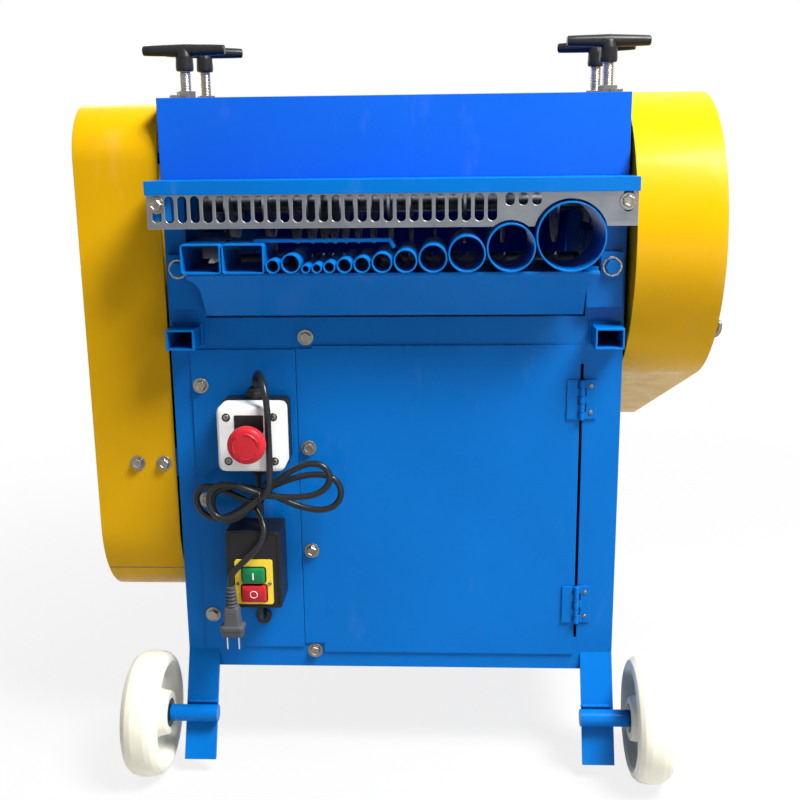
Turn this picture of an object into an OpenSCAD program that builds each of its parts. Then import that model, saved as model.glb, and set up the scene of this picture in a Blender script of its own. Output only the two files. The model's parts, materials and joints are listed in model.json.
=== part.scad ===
// Floor-standing machine that slits and strips scrap cable.
// +Z is up, -Y is the feed side, and the origin is on the floor under the middle of the machine.

/* [Frame] */
// Width of the frame
body_w = 490; // [470:1:540]
// Depth of the frame
frame_d = 540; // [520:1:620]
// Thickness of the frame plates
plate_t = 4; // [3:0.5:5]
// Height of the cabinet floor above the ground
belly_z = 132; // [126:1:150]
// Height of the cover's top
top_z = 752; // [748:1:780]
// Width of each front post
post_w = 41; // [38:1:44]
// How far the front legs lean forward
leg_lean = 50; // [35:1:60]
// Gap under the front legs
leg_gap = 18; // [12:1:26]
// Width of each leg flange
leg_w = 36; // [30:1:38]
// Top of the upper front rail
rail_z = 522; // [516:1:526]
// Height of the upper front rail
rail_h = 52; // [44:1:60]
// Height of the rear foot plates
foot_t = 6; // [4:1:10]

/* [Cover and visor] */
// Height of the top cover
cover_h = 83; // [78:1:86]
// Depth of the top cover
cover_d = 240; // [220:1:260]
// Sheet thickness of cover, visor and shelf
sheet_t = 3; // [2:0.5:4]
// How far the visor stands out
visor_out = 60; // [56:1:66]
// How far the visor is wider than the frame on each side
visor_over = 2; // [0:0.5:3]
// Height of the visor's front lip
lip_h = 14; // [10:1:15]

/* [Guide plate] */
// Thickness of the slotted plate
guide_t = 1.8; // [1.2:0.2:2.4]
// Height of the slotted plate
guide_h = 39; // [38:1:42]
// Width of the slots
slot_w = 9.6; // [8.4:0.2:10]
// Spacing of the slots
slot_pitch = 13; // [12.6:0.1:13.2]
// Number of slots
slot_n = 27; // [20:1:27]
// Height of the slots
slot_h = 27; // [24:1:28]

/* [Feed tubes] */
// Length of the feed tubes
tube_l = 95; // [80:1:110]
// How far the feed tubes stand out in front
tube_out = 65; // [62:1:70]
// Wall of the feed tubes
tube_wall = 1.6; // [1:0.1:2]
// Height of the square tubes
square_h = 30; // [24:1:32]
// Width of the first square tube
square_w1 = 41; // [36:1:42]
// Width of the second square tube
square_w2 = 43; // [38:1:44]
// Gap between neighbouring tubes
tube_gap = 1.2; // [0.6:0.1:1.2]

/* [Cutters] */
// Radius of the feed roller
roller_r = 35; // [32:1:36]
// Radius of the disc blades
blade_r = 54; // [50:1:56]
// Radius of the cutter and roller shafts
shaft_r = 17.5; // [15:0.5:18]
// Teeth on each gear
gear_n = 25; // [24:1:26]
// Module of the gears
gear_m = 4; // [3.9:0.05:4.1]
// Width of the gears
gear_w = 24; // [18:1:26]
// Depth of the cutter shaft behind the front
axis_y = 120; // [116:1:124]
// Height of the feed roller's axis
roller_z = 545; // [544:1:547]
// Distance between front and rear adjusting screws
screw_span = 100; // [94:1:104]
// Radius of the adjusting screws
screw_r = 6; // [5:0.5:6]
// Length of the T-handle bars
bar_l = 90; // [70:1:92]

/* [Guards] */
// How far the guards stand out from the frame
guard_out = 95; // [88:1:105]
// Sheet thickness of the guards
guard_t = 2; // [1.5:0.5:3]
// Gap between the guards and the frame
guard_gap = 4; // [3:0.5:5]
// Front radius of the right guard
guard_r = 160; // [156:1:164]
// Rear radius of the right guard
tail_r = 88; // [84:1:92]
// Depth of the left guard
left_d = 495; // [490:1:510]
// Underside of the left guard
left_z = 178; // [170:1:182]
// Lower corner radius of the left guard
left_r_low = 100; // [60:1:104]
// Upper corner radius of the left guard
left_r_top = 60; // [40:1:70]
// Length of the guard knobs
knob_l = 16; // [12:1:20]

/* [Door and switches] */
// Left edge of the door, from the frame's left side
door_x = 137; // [133:1:141]
// Thickness of the door and switch panel
door_t = 2; // [1.5:0.5:2.5]
// Width of the emergency stop box
stop_w = 72; // [68:1:74]
// Depth of the emergency stop box
stop_d = 53; // [48:1:54]
// Radius of the mushroom head
mushroom_r = 20; // [18:0.5:20]
// Width of the magnetic switch
switch_w = 60; // [58:1:64]
// Height of the magnetic switch
switch_h = 90; // [86:1:90]
// Depth of the magnetic switch
switch_d = 43; // [40:1:43]

/* [Wheels] */
// Radius of the wheels
wheel_r = 70; // [64:1:74]
// Width of the wheels
wheel_w = 42; // [34:1:44]
// Radius of the stub axle tubes
stub_r = 9.5; // [8.5:0.5:11]

/* [Cord] */
// Diameter of the mains cord
cord_d = 7; // [6:0.5:7]

/* [Fits] */
// Radial play of shafts and pins in their bores
fit = 0.06; // [0.03:0.01:0.08]
// Play beside sliding and turning pieces
play = 0.3; // [0.2:0.05:0.4]

/* [Hidden] */
$fn = 48;
eps = 0.01;

// Frame places
hx = body_w / 2;
inner_x = hx - plate_t;
cover_z = top_z - cover_h;
seat_z = top_z - sheet_t;
post_x = hx - post_w;
door_x0 = -hx + door_x;
low_rail_drop = 21;
low_rail_rise = 18;
hood_z = 660;
hood_low_z = 600;
rear_low_z = 480;
rail_flange = 26;
mullion_w = 38;

// Drive axes
cutter_z = roller_z + gear_m * gear_n;
pitch_r = gear_m * gear_n / 2;
tip_r = pitch_r + gear_m;
lift_travel = 6;
jack_back = 260;
jack_drop = 105;
jack_y = axis_y + jack_back;
jack_z = roller_z - jack_drop;
motor_y = axis_y;
motor_z = 285;
jack_r = 14;
bearing_r = 29;
bearing_w = 18;
shaft_room = 1;
motor_shaft_r = 12;
motor_hole_room = 4;

// Guards
guard_x = hx + guard_gap;
guard_far = hx + guard_out;
guard_drop = 48;
tail_back = 357;
tail_drop = 208;
guard_c = [axis_y, cutter_z - guard_drop];
tail_c = [axis_y + tail_back, guard_c[1] - tail_drop];
left_y = 5;
left_top_gap = 2;
left_top_z = top_z - left_top_gap;
knob_x = guard_far + knob_l;
stay_r = 7;
front_stay_in = 98;
front_stay_drop = 101;
tail_stay_in = 10;
tail_stay_rise = 5;
right_stays = [[guard_c[0] - front_stay_in, guard_c[1] - front_stay_drop],
               [tail_c[0] - tail_stay_in, tail_c[1] + tail_stay_rise]];
cover_stay_in = 25;
cover_stay_drop = 60;
foot_stay_in = 80;
foot_stay_rise = 90;
left_stays = [[cover_d - cover_stay_in, left_top_z - cover_stay_drop],
              [left_y + left_d - foot_stay_in, left_z + foot_stay_rise]];

// Whole box: the wheels are in front and the right guard's tail at the back
head_out = 30;
seat_gap = 0.2;
lean = atan(leg_lean / (belly_z - leg_gap));
axle_y = -leg_lean * (belly_z - wheel_r) / (belly_z - leg_gap) - (stub_r + seat_gap) / cos(lean);
front_reach = wheel_r - axle_y;
rear_reach = tail_c[0] + tail_r;
front_y = (front_reach - rear_reach) / 2;

// Colours as photographed
blue = [0.10, 0.30, 0.62];
yellow = [0.95, 0.72, 0.08];
steel = [0.72, 0.73, 0.74];
zinc = [0.78, 0.78, 0.76];
black = [0.08, 0.08, 0.09];
cream = [0.90, 0.87, 0.78];
white = [0.93, 0.93, 0.91];
red = [0.80, 0.10, 0.08];
green = [0.10, 0.55, 0.20];

// Moves a piece from the front plane's frame to the part's frame
module placed() {
    translate([0, front_y, 0]) children();
}

// Extrudes a side view outline (Y, Z) from x0 to x1
module yz(x0, x1) {
    translate([x0, 0, 0]) rotate([90, 0, 90]) linear_extrude(x1 - x0) children();
}

// Extrudes a front view outline (X, Z) from y0 to y1
module xz(y0, y1) {
    translate([0, y1, 0]) rotate([90, 0, 0]) linear_extrude(y1 - y0) children();
}

// A block between two corners
module block(a, b) {
    translate(a) cube(b - a);
}

// A cylinder along X
module bar_x(x0, x1, y, z, r) {
    translate([x0, y, z]) rotate([0, 90, 0]) cylinder(h = x1 - x0, r = r);
}

// A cylinder along Y
module bar_y(y0, y1, x, z, r, sides = 48) {
    translate([x, y1, z]) rotate([90, 0, 0]) cylinder(h = y1 - y0, r = r, $fn = sides);
}

// Both sides of the machine
module both() {
    children();
    mirror([1, 0, 0]) children();
}

// Outline of a rectangle with a lower and an upper corner radius
module rounded(x0, y0, x1, y1, r0, r1) {
    polygon([[x0 + r0, y0], [x1 - r0, y0], [x1, y0 + r0], [x1, y1 - r1],
             [x1 - r1, y1], [x0 + r1, y1], [x0, y1 - r1], [x0, y0 + r0]]);
    for (x = [x0 + r0, x1 - r0]) translate([x, y0 + r0]) circle(r0);
    for (x = [x0 + r1, x1 - r1]) translate([x, y1 - r1]) circle(r1);
}

// Outline around two circles and their outer tangents
function on(c, r, a) = c + r * [cos(a), sin(a)];
function heading(c1, c2) = atan2(c2[1] - c1[1], c2[0] - c1[0]);
function wrap(c1, r1, c2, r2) = acos((r1 - r2) / norm(c2 - c1));
module loop_outline(c1, r1, c2, r2) {
    base = heading(c1, c2);
    open = wrap(c1, r1, c2, r2);
    translate(c1) circle(r1);
    translate(c2) circle(r2);
    polygon([on(c1, r1, base + open), on(c2, r2, base + open),
             on(c2, r2, base - open), on(c1, r1, base - open)]);
}

// A hex bolt head with washer whose seat is at y, pointing to -Y, with a shank behind it
module bolt_y(x, y, z, r, shank) {
    washer_t = 0.3 * r;
    bar_y(y - washer_t, y, x, z, 1.9 * r);
    bar_y(y - washer_t - 1.1 * r, y - washer_t, x, z, 1.45 * r, 6);
    bar_y(y - eps, y + shank, x, z, r);
}

bolt_r = 4;
hole_r = bolt_r + play;

// Frame

// Sides of the machine, with the bridges that hold the adjusting screws
// and the guides of the sliding blocks
guide_w = 12;
block_over = 12;
block_y = screw_span / 2 + block_over;
block_w = 22;
screw_x = inner_x - block_w / 2 - play;
bridge_h = 14;
bridge_over = 2;
guide_low_z = cutter_z - 45;
module side_plate(motor_hole) {
    pass_r = shaft_r + shaft_room;
    yz(inner_x, hx) difference() {
        polygon([[plate_t, belly_z], [frame_d, belly_z], [frame_d, hood_low_z],
                 [cover_d, hood_z], [cover_d, seat_z], [sheet_t, seat_z], [sheet_t, cover_z],
                 [plate_t, cover_z]]);
        translate([axis_y, roller_z]) circle(pass_r);
        translate([jack_y, jack_z]) circle(jack_r + shaft_room);
        if (motor_hole) translate([motor_y, motor_z]) circle(motor_shaft_r + motor_hole_room);
        translate([axis_y, cutter_z]) circle(pass_r);
        translate([axis_y - pass_r, cutter_z]) square([2 * pass_r, lift_travel]);
        translate([axis_y, cutter_z + lift_travel]) circle(pass_r);
    }
    difference() {
        block([inner_x - block_w - bridge_over, axis_y - block_y - guide_w, seat_z - bridge_h],
              [inner_x, axis_y + block_y + guide_w, seat_z]);
        for (s = [-1, 1]) translate([screw_x, axis_y + s * screw_span / 2, 0])
            cylinder(h = top_z, r = screw_r + play);
    }
    for (s = [-1, 1]) {
        mid_y = axis_y + s * (block_y + play + guide_w / 2);
        block([inner_x - block_w, mid_y - guide_w / 2, guide_low_z],
              [inner_x, mid_y + guide_w / 2, seat_z - bridge_h]);
    }
}
module side_plates() {
    color(blue) placed() {
        side_plate(false);
        mirror([1, 0, 0]) side_plate(true);
    }
}

// Front posts, which go on below as legs that lean forward
socket_w = 30;
socket_h = 22;
socket_drop = 19;
socket_z = rail_z - socket_drop;
mouth_z = 566;
mouth_in = 23;
mouth_x = hx - mouth_in;
module front_post() {
    difference() {
        block([post_x, 0, belly_z], [hx, plate_t, cover_z]);
        block([inner_x - socket_w, -1, socket_z - socket_h / 2],
              [inner_x, plate_t + 1, socket_z + socket_h / 2]);
        block([post_x - 1, -1, mouth_z], [mouth_x, plate_t + 1, cover_z + 1]);
    }
    yz(hx - leg_w, hx)
        polygon([[0, belly_z], [plate_t, belly_z], [plate_t - leg_lean, leg_gap], [-leg_lean, leg_gap]]);
    yz(inner_x, hx)
        polygon([[0, belly_z], [leg_w, belly_z], [leg_w - leg_lean, leg_gap], [-leg_lean, leg_gap]]);
}
module front_posts() {
    color(blue) placed() both() front_post();
}

// Rear legs with foot plates
foot_w = 54;
foot_back = 4;
foot_side = 2;
module rear_post() {
    block([inner_x, frame_d - leg_w, foot_t], [hx, frame_d, belly_z]);
    block([hx - leg_w, frame_d - plate_t, foot_t], [hx, frame_d, belly_z]);
    block([hx - foot_w, frame_d - foot_w + foot_back, 0], [hx + foot_side, frame_d + foot_back, foot_t]);
}
module rear_posts() {
    color(blue) placed() both() rear_post();
}

// Front rails with the mullion between panel and door
low_rail_z = belly_z - low_rail_drop;
low_rail_top = belly_z + low_rail_rise;
mullion_in = 5;
mullion_x = door_x0 + mullion_in;
latch_in = 11;
latch_x = door_x0 + latch_in;
latch_zs = [376, 255];
notch_top_in = 22;
notch_low_in = 19;
notch_zs = [rail_z - notch_top_in, low_rail_top - notch_low_in];
panel_zs = [447, 315, 176];
panel_bolt_in = 31;
panel_bolt_x = -hx + panel_bolt_in;
leg_x = hx - leg_w;
tab_w = 6;
tab_drop = 10;
low_rail_end = [[leg_x + tab_w, low_rail_z], [leg_x + tab_w, belly_z - tab_drop], [leg_x, belly_z - tab_drop],
                [leg_x, belly_z], [post_x, belly_z], [post_x, low_rail_top]];
module front_rails() {
    color(blue) placed() {
        difference() {
            union() {
                block([-post_x, 0, rail_z - rail_h], [post_x, plate_t, rail_z]);
                block([-post_x, plate_t, rail_z - sheet_t], [post_x, rail_flange, rail_z]);
                xz(0, plate_t) polygon(concat(low_rail_end, [for (i = [5 : -1 : 0])
                    [-low_rail_end[i][0], low_rail_end[i][1]]]));
                block([-post_x, plate_t, low_rail_z], [post_x, leg_w, low_rail_z + sheet_t]);
                block([mullion_x - mullion_w / 2, 0, low_rail_top],
                      [mullion_x + mullion_w / 2, sheet_t, rail_z - rail_h]);
            }
            for (z = notch_zs) bar_y(-1, plate_t + 1, latch_x, z, hole_r);
            for (z = latch_zs) bar_y(-1, plate_t + 1, latch_x, z, bolt_r + 1);
        }
    }
}

// Cabinet floor with the two walls that carry the motor
motor_r = 78;
motor_foot_drop = 14;
motor_foot_z = motor_z - motor_r - motor_foot_drop;
motor_x0 = -190;
motor_x1 = 60;
stand_x = [-150, 12];
stand_t = 8;
motor_foot_y = 62;
module base_tray() {
    color(blue) placed() {
        block([-inner_x, plate_t, belly_z], [inner_x, frame_d - plate_t, belly_z + plate_t]);
        for (x = stand_x)
            block([x, motor_y - motor_foot_y, belly_z + plate_t],
                  [x + stand_t, motor_y + motor_foot_y, motor_foot_z]);
    }
}

// Rectangular tubes along both sides, open at both ends for carrying handles
socket_out = 35;
socket_t = 2;
socket_back = 10;
module handle_sockets() {
    color(blue) placed() both() difference() {
        block([inner_x - socket_w, -socket_out, socket_z - socket_h / 2],
              [inner_x, frame_d + socket_back, socket_z + socket_h / 2]);
        block([inner_x - socket_w + socket_t, -socket_out - 1, socket_z - socket_h / 2 + socket_t],
              [inner_x - socket_t, frame_d + socket_back + 1, socket_z + socket_h / 2 - socket_t]);
    }
}

// Rear panel with vent slots and the chute on which stripped cable leaves
vent_w = 8;
vent_h = 70;
vent_pitch = 22;
vent_z = 230;
vent_n = 13;
chute_in = 80;
chute_y = axis_y + chute_in;
chute_side = 1;
chute_x = inner_x - socket_w - chute_side;
chute_t = 4;
chute_z = roller_z + 6;
chute_out = 16;
chute_drop = 12;
module rear_panel() {
    color(blue) placed() {
        difference() {
            block([-inner_x, frame_d - plate_t, belly_z], [inner_x, frame_d, rear_low_z]);
            for (i = [0 : vent_n - 1]) translate([(i - (vent_n - 1) / 2) * vent_pitch, 0, 0])
                xz(frame_d - plate_t - 1, frame_d + 1)
                    rounded(-vent_w / 2, vent_z, vent_w / 2, vent_z + vent_h, 0.48 * vent_w, 0.48 * vent_w);
        }
        yz(-chute_x, chute_x)
            polygon([[frame_d - plate_t, rear_low_z],
                     [frame_d + chute_out, rear_low_z - chute_drop],
                     [frame_d + chute_out + 1, rear_low_z - chute_drop + sheet_t],
                     [frame_d, rear_low_z + chute_t],
                     [chute_y, chute_z],
                     [chute_y, chute_z - chute_t]]);
    }
}

// Sloping hood whose apron hangs down behind the works, with the exit under it
exit_h = 46;
exit_z = rear_low_z + chute_t + exit_h;
apron_out = 6;
module rear_hood() {
    color(blue) placed() yz(-hx, hx)
        polygon([[cover_d, hood_z],
                 [frame_d, hood_low_z],
                 [frame_d + apron_out, exit_z],
                 [frame_d + apron_out + sheet_t, exit_z],
                 [frame_d + sheet_t, hood_low_z + 0.8 * sheet_t],
                 [cover_d, hood_z + sheet_t]]);
}

// Top cover, bent from one sheet
module top_cover() {
    color(blue) placed() difference() {
        yz(-hx, hx) polygon([[0, cover_z], [sheet_t, cover_z], [sheet_t, seat_z], [cover_d, seat_z],
                             [cover_d, hood_z + sheet_t], [cover_d + sheet_t, hood_z + sheet_t],
                             [cover_d + sheet_t, top_z], [0, top_z]]);
        for (sx = [-1, 1], sy = [-1, 1])
            translate([sx * screw_x, axis_y + sy * screw_span / 2, seat_z - 1])
                cylinder(h = sheet_t + 2, r = screw_r + play);
    }
}

// Nuts of the four screws and small hex heads beside them
nut_h = 10;
lock_in = 8;
lock_y = 22;
lock_r = 6;
lock_h = 5;
module screw_nuts() {
    color(zinc) placed() for (sx = [-1, 1], sy = [-1, 1]) {
        translate([sx * screw_x, axis_y + sy * screw_span / 2, top_z]) difference() {
            cylinder(h = nut_h, r = 1.75 * screw_r, $fn = 6);
            translate([0, 0, -1]) cylinder(h = nut_h + 2, r = screw_r + play);
        }
        translate([sx * (hx - lock_in), axis_y + sy * screw_span / 2 - lock_y, top_z])
            cylinder(h = lock_h, r = lock_r, $fn = 6);
    }
}

// Visor ledge over the feed tubes, with the tabs that carry the guide plate
lip_y = -visor_out + sheet_t;
guide_y = lip_y + play;
ear_y = guide_y + guide_t + play;
ear_w = 23;
ear_h = 40;
ear_x = hx - ear_w;
guide_bolt_in = 9;
guide_bolt_drop = 24;
guide_bolt_x = hx - guide_bolt_in;
guide_bolt_z = cover_z - guide_bolt_drop;
module visor_ledge() {
    color(blue) placed() {
        yz(-hx - visor_over, hx + visor_over)
            polygon([[0, cover_z], [-visor_out, cover_z], [-visor_out, cover_z - lip_h],
                     [lip_y, cover_z - lip_h], [lip_y, cover_z - sheet_t], [0, cover_z - sheet_t]]);
        both() difference() {
            block([ear_x, ear_y, cover_z - ear_h], [hx, ear_y + plate_t, cover_z - sheet_t / 2]);
            bar_y(ear_y - 1, ear_y + plate_t + 1, guide_bolt_x, guide_bolt_z, bolt_r + fit);
        }
    }
}

// Feed side

// Feed tubes stand side by side on the shelf, the round ones from the smallest lanes to the widest
shelf_rise = 31;
shelf_top = roller_z + shelf_rise;
tube_z = shelf_top + seat_gap;
row_margin = 9;
row_x = -mouth_x + row_margin;
lane_radii = [7.4, 10, 4.7, 5.3, 6.3, 7.9, 8.6, 10.5, 12, 14.5, 18.7, 24.4, 34.8];
square_xs = [row_x, row_x + square_w1 + tube_gap];
square_ws = [square_w1, square_w2];
round_room = mouth_x - square_xs[1] - square_w2 - tube_gap;
function step_x(a, b) = sqrt((a + b + tube_gap) ^ 2 - (b - a) ^ 2);
lane_last = len(lane_radii) - 1;
function row_w(i) =
    i == lane_last ? lane_radii[i] : step_x(lane_radii[i], lane_radii[i + 1]) + row_w(i + 1);
function first_lane(i) =
    i == lane_last || lane_radii[i] + row_w(i) <= round_room ? i : first_lane(i + 1);

// A narrower frame leaves out the first of the round tubes
tube_radii = [for (i = [first_lane(0) : lane_last]) lane_radii[i]];
first_round_x = square_xs[1] + square_w2 + tube_gap + tube_radii[0];
function round_x(i) = i == 0 ? first_round_x : round_x(i - 1) + step_x(tube_radii[i - 1], tube_radii[i]);
lane_xs = concat([for (i = [0, 1]) square_xs[i] + square_ws[i] / 2],
                 [for (i = [0 : len(tube_radii) - 1]) round_x(i)]);

// Slotted plate that can be raised in its bolt slots
guide_drop = 9;
guide_z1 = cover_z - guide_drop;
guide_z0 = guide_z1 - guide_h;
slot_rise = 6;
slot_z0 = guide_z0 + slot_rise;
slot_corner = 0.49 * slot_w;
oval_n = 3;
oval_pitch = 13.3;
oval_in = 4;
oval_h = 12.5;
oval_rise = 21;
bolt_slot_h = 22.5;
bolt_slot_rise = 8;
ring_room = 2.5;
guide_over = 1;
module guide_plate() {
    last = len(tube_radii) - 1;
    oval_x = -guide_bolt_x + (slot_n - 1) * slot_pitch + oval_in;
    color(steel) placed() xz(guide_y, guide_y + guide_t) difference() {
        translate([-hx - guide_over, guide_z0]) square([body_w + 2 * guide_over, guide_h]);
        for (i = [0 : slot_n - 1]) translate([-guide_bolt_x + i * slot_pitch, slot_z0])
            rounded(-slot_w / 2, 0, slot_w / 2, slot_h, slot_corner, slot_corner);
        for (i = [1 : oval_n]) translate([oval_x + i * oval_pitch, guide_z0 + oval_rise])
            rounded(-slot_w / 2, 0, slot_w / 2, oval_h, slot_corner, slot_corner);
        translate([guide_bolt_x, slot_z0 + bolt_slot_rise])
            rounded(-slot_w / 2, 0, slot_w / 2, bolt_slot_h, slot_corner, slot_corner);
        for (i = [last - 1, last]) translate([round_x(i), tube_z + tube_radii[i]])
            circle(tube_radii[i] + ring_room);
    }
}

// Shelf under the feed tubes with its slanted skirt, end brackets and their bolts
shelf_z = shelf_top - sheet_t;
skirt_in = 2;
skirt_t = 4;
skirt_y = -visor_out + skirt_in;
skirt_low_y = -20;
skirt_rise = 5;
skirt_low_z = rail_z + skirt_rise;
shelf_in = 1;
shelf_x = post_x - shelf_in;
shelf_back = 60;
wing_w = 12;
wing_x = shelf_x + wing_w;
shelf_over = 7;
shelf_end = shelf_x + shelf_over;
skirt_side = 4;
skirt_x = shelf_x - skirt_side;
skirt_r = 16;
skirt_z = shelf_z - sheet_t;
skirt_c = [skirt_x + skirt_r, skirt_z - skirt_r];
skirt_cut_x = shelf_end + skirt_r;
lug_y = -12;
lug_over = 15;
lug_rise = 6;
lug_z = skirt_low_z + lug_rise;
lug_gap = 2;
lug_x = wing_x + lug_gap;
lug_bolt_x = (lug_x + inner_x) / 2;
lug_bolt_z = shelf_top;
lug_bolt_r = 5.5;
module tube_shelf() {
    color(blue) placed() {
        difference() {
            union() {
                block([-shelf_x, skirt_y, shelf_z], [shelf_x, shelf_back, shelf_top]);
                both() block([shelf_x - 1, lug_y, shelf_z], [wing_x, 0, shelf_top]);
                both() block([shelf_x - 1, skirt_y, shelf_z], [shelf_end, 0, shelf_top]);
                yz(-shelf_end, shelf_end)
                    polygon([[skirt_y, shelf_z + 1], [skirt_y + skirt_t, shelf_z + 1],
                             [skirt_low_y + skirt_t, skirt_low_z], [skirt_low_y, skirt_low_z]]);
            }
            both() xz(-visor_out - 1, -1) polygon(concat(
                [for (a = [180 : -15 : 90]) skirt_c + skirt_r * [cos(a), sin(a)]],
                [[skirt_cut_x, skirt_z], [skirt_cut_x, skirt_low_z - 1], [skirt_x, skirt_low_z - 1]]));
        }
        both() {
            difference() {
                union() {
                    block([shelf_x, lug_y, lug_z], [inner_x, 0, shelf_z - sheet_t]);
                    block([shelf_x, lug_y, shelf_z - sheet_t], [wing_x, 0, shelf_z + 1]);
                    block([lug_x, lug_y, lug_z], [inner_x, 0, shelf_top + lug_over]);
                }
                bar_y(lug_y - 1, 1, lug_bolt_x, lug_bolt_z, lug_bolt_r + play);
            }
            bolt_y(lug_bolt_x, lug_y, lug_bolt_z, lug_bolt_r, -lug_y);
        }
    }
}

// Corner radius of the square tubes
square_r = 3;
module feed_tubes_square() {
    color(blue) placed() for (i = [0, 1])
        xz(-tube_out, tube_l - tube_out) translate([square_xs[i], tube_z]) difference() {
            rounded(0, 0, square_ws[i], square_h, square_r, square_r);
            rounded(tube_wall, tube_wall, square_ws[i] - tube_wall, square_h - tube_wall,
                    square_r - tube_wall, square_r - tube_wall);
        }
}

module feed_tubes_round() {
    color(blue) placed() for (i = [0 : len(tube_radii) - 1]) {
        r = tube_radii[i];
        xz(-tube_out, tube_l - tube_out) translate([round_x(i), tube_z + r]) difference() {
            circle(r);
            circle(r - tube_wall);
        }
    }
}

// Flat strip over the small tubes, seated on the second square tube
strip_z = tube_z + square_h;
strip_seat = 12;
strip_y = -50;
strip_w = 14;
strip_bend = 4;
strip_drop = 7;
strip_lane = len(tube_radii) - 5;
strip_x0 = square_xs[1] + square_w2 - strip_seat;
strip_x1 = round_x(strip_lane) - tube_radii[strip_lane] - tube_gap;
module hold_down_strip() {
    color(blue) placed() xz(strip_y, strip_y + strip_w)
        polygon([[strip_x0, strip_z],
                 [strip_x1 - strip_bend, strip_z],
                 [strip_x1, strip_z - strip_drop],
                 [strip_x1 + sheet_t, strip_z - strip_drop + 2],
                 [strip_x1 - strip_bend / 2, strip_z + sheet_t],
                 [strip_x0, strip_z + sheet_t]]);
}

// Front panels

panel_in = 21;
panel_gap = 0.7;
panel_low = 14;
panel_top = 35;
panel_x0 = -hx + panel_in;
panel_x1 = door_x0 - panel_gap;
panel_z0 = low_rail_top - panel_low;
panel_z1 = rail_z - panel_top;
grommet_in = 69;
grommet_x = panel_x0 + grommet_in;
grommet_z = 175;
grommet_r = 9;
grommet_t = 3;
cable_hole_r = 6;
module switch_panel() {
    color(blue) placed() difference() {
        block([panel_x0, -door_t, panel_z0], [panel_x1, 0, panel_z1]);
        for (z = panel_zs) bar_y(-door_t - 1, 1, panel_bolt_x, z, hole_r);
        bar_y(-door_t - 1, 1, grommet_x, grommet_z, cable_hole_r);
    }
}

// Bolts of the panel, rails, guide plate, left guard and hinge leaves
guard_bolt_z = 356;
guard_bolt_out = 17;
guard_bolt_step = 30;
guard_bolt_xs = [-hx - guard_bolt_out, -hx - guard_bolt_out - guard_bolt_step];
hinge_screw_r = 2.4;
hinge_screw_h = 1.2;
hinge_screw_x = 10;
module frame_bolts() {
    color(zinc) placed() {
        for (z = panel_zs) bolt_y(panel_bolt_x, -door_t, z, bolt_r, door_t);
        for (z = notch_zs) bolt_y(latch_x, 0, z, bolt_r, plate_t);
        for (s = [-1, 1])
            bolt_y(s * guide_bolt_x, guide_y - seat_gap, guide_bolt_z, bolt_r, ear_y + plate_t - guide_y);
        for (x = guard_bolt_xs) bolt_y(x, left_y, guard_bolt_z, bolt_r, guard_t);
        for (z = hinge_zs, s = [-1, 1])
            bar_y(-leaf_t - hinge_screw_h, -leaf_t,
                  hinge_x + hinge_screw_x, z + s * hinge_h / 3, hinge_screw_r);
    }
}

// Hinged door with a notch at each left corner
door_gap = 3.5;
door_low = 20;
door_top = 31;
door_x1 = post_x - door_gap;
door_z0 = low_rail_top - door_low;
door_z1 = rail_z - door_top;
notch_w = 22;
notch_step = 4;
notch_low_h = 10;
notch_top_h = 12;
module door() {
    color(blue) placed() difference() {
        block([door_x0, -door_t, door_z0], [door_x1, 0, door_z1]);
        for (z = latch_zs) bar_y(-door_t - 1, 1, latch_x, z, bolt_r + fit);
        block([door_x0 - 1, -door_t - 1, door_z0 - 1], [door_x0 + notch_w, 1, notch_zs[1] + notch_low_h]);
        block([door_x0 - 1, -door_t - 1, notch_zs[0] - notch_top_h],
              [door_x0 + notch_w - notch_step, 1, door_z1 + 1]);
    }
}
module door_bolts() {
    color(zinc) placed() for (z = latch_zs) bolt_y(latch_x, -door_t, z, bolt_r, door_t + plate_t);
}

// Hinges: the frame leaf holds the pin
hinge_zs = [431, 192];
hinge_h = 44;
hinge_n = 5;
hinge_gap = 0.5;
knuckle_r = 3;
pin_r = 1.5;
leaf_t = 2;
leaf_w = 16;
leaf_in = 5;
hinge_out = 2.9;
hinge_x = door_x1 + door_gap / 2 + seat_gap;
hinge_y = -door_t - hinge_out;
knuckle_h = (hinge_h - (hinge_n - 1) * hinge_gap) / hinge_n;
function knuckle_z(i) = i * (knuckle_h + hinge_gap);
module hinge_leaves() {
    color(zinc) placed() for (z = hinge_zs) translate([0, 0, z - hinge_h / 2]) {
        block([hinge_x + leaf_in, -leaf_t, 0], [hinge_x + leaf_w, 0, hinge_h]);
        translate([hinge_x, hinge_y, 0]) cylinder(h = hinge_h, r = pin_r);
        for (i = [0 : 2 : hinge_n - 1]) {
            translate([hinge_x, hinge_y, knuckle_z(i)]) cylinder(h = knuckle_h, r = knuckle_r);
            block([hinge_x, -leaf_t - 1, knuckle_z(i)],
                  [hinge_x + leaf_in + 1, -leaf_t + 1, knuckle_z(i) + knuckle_h]);
        }
    }
}
module door_leaves() {
    arm_x = hinge_x - leaf_in;
    color(zinc) placed() for (z = hinge_zs) translate([0, 0, z - hinge_h / 2]) difference() {
        union() {
            block([hinge_x - leaf_w, -door_t - leaf_t, 0], [arm_x, -door_t, hinge_h]);
            for (i = [1 : 2 : hinge_n - 1]) {
                translate([hinge_x, hinge_y, knuckle_z(i)]) cylinder(h = knuckle_h, r = knuckle_r);
                block([arm_x - 1, -door_t - leaf_t, knuckle_z(i)],
                      [hinge_x, -door_t, knuckle_z(i) + knuckle_h]);
            }
        }
        translate([hinge_x, hinge_y, -1]) cylinder(h = hinge_h + 2, r = pin_r + fit);
    }
}

// Guards

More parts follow.
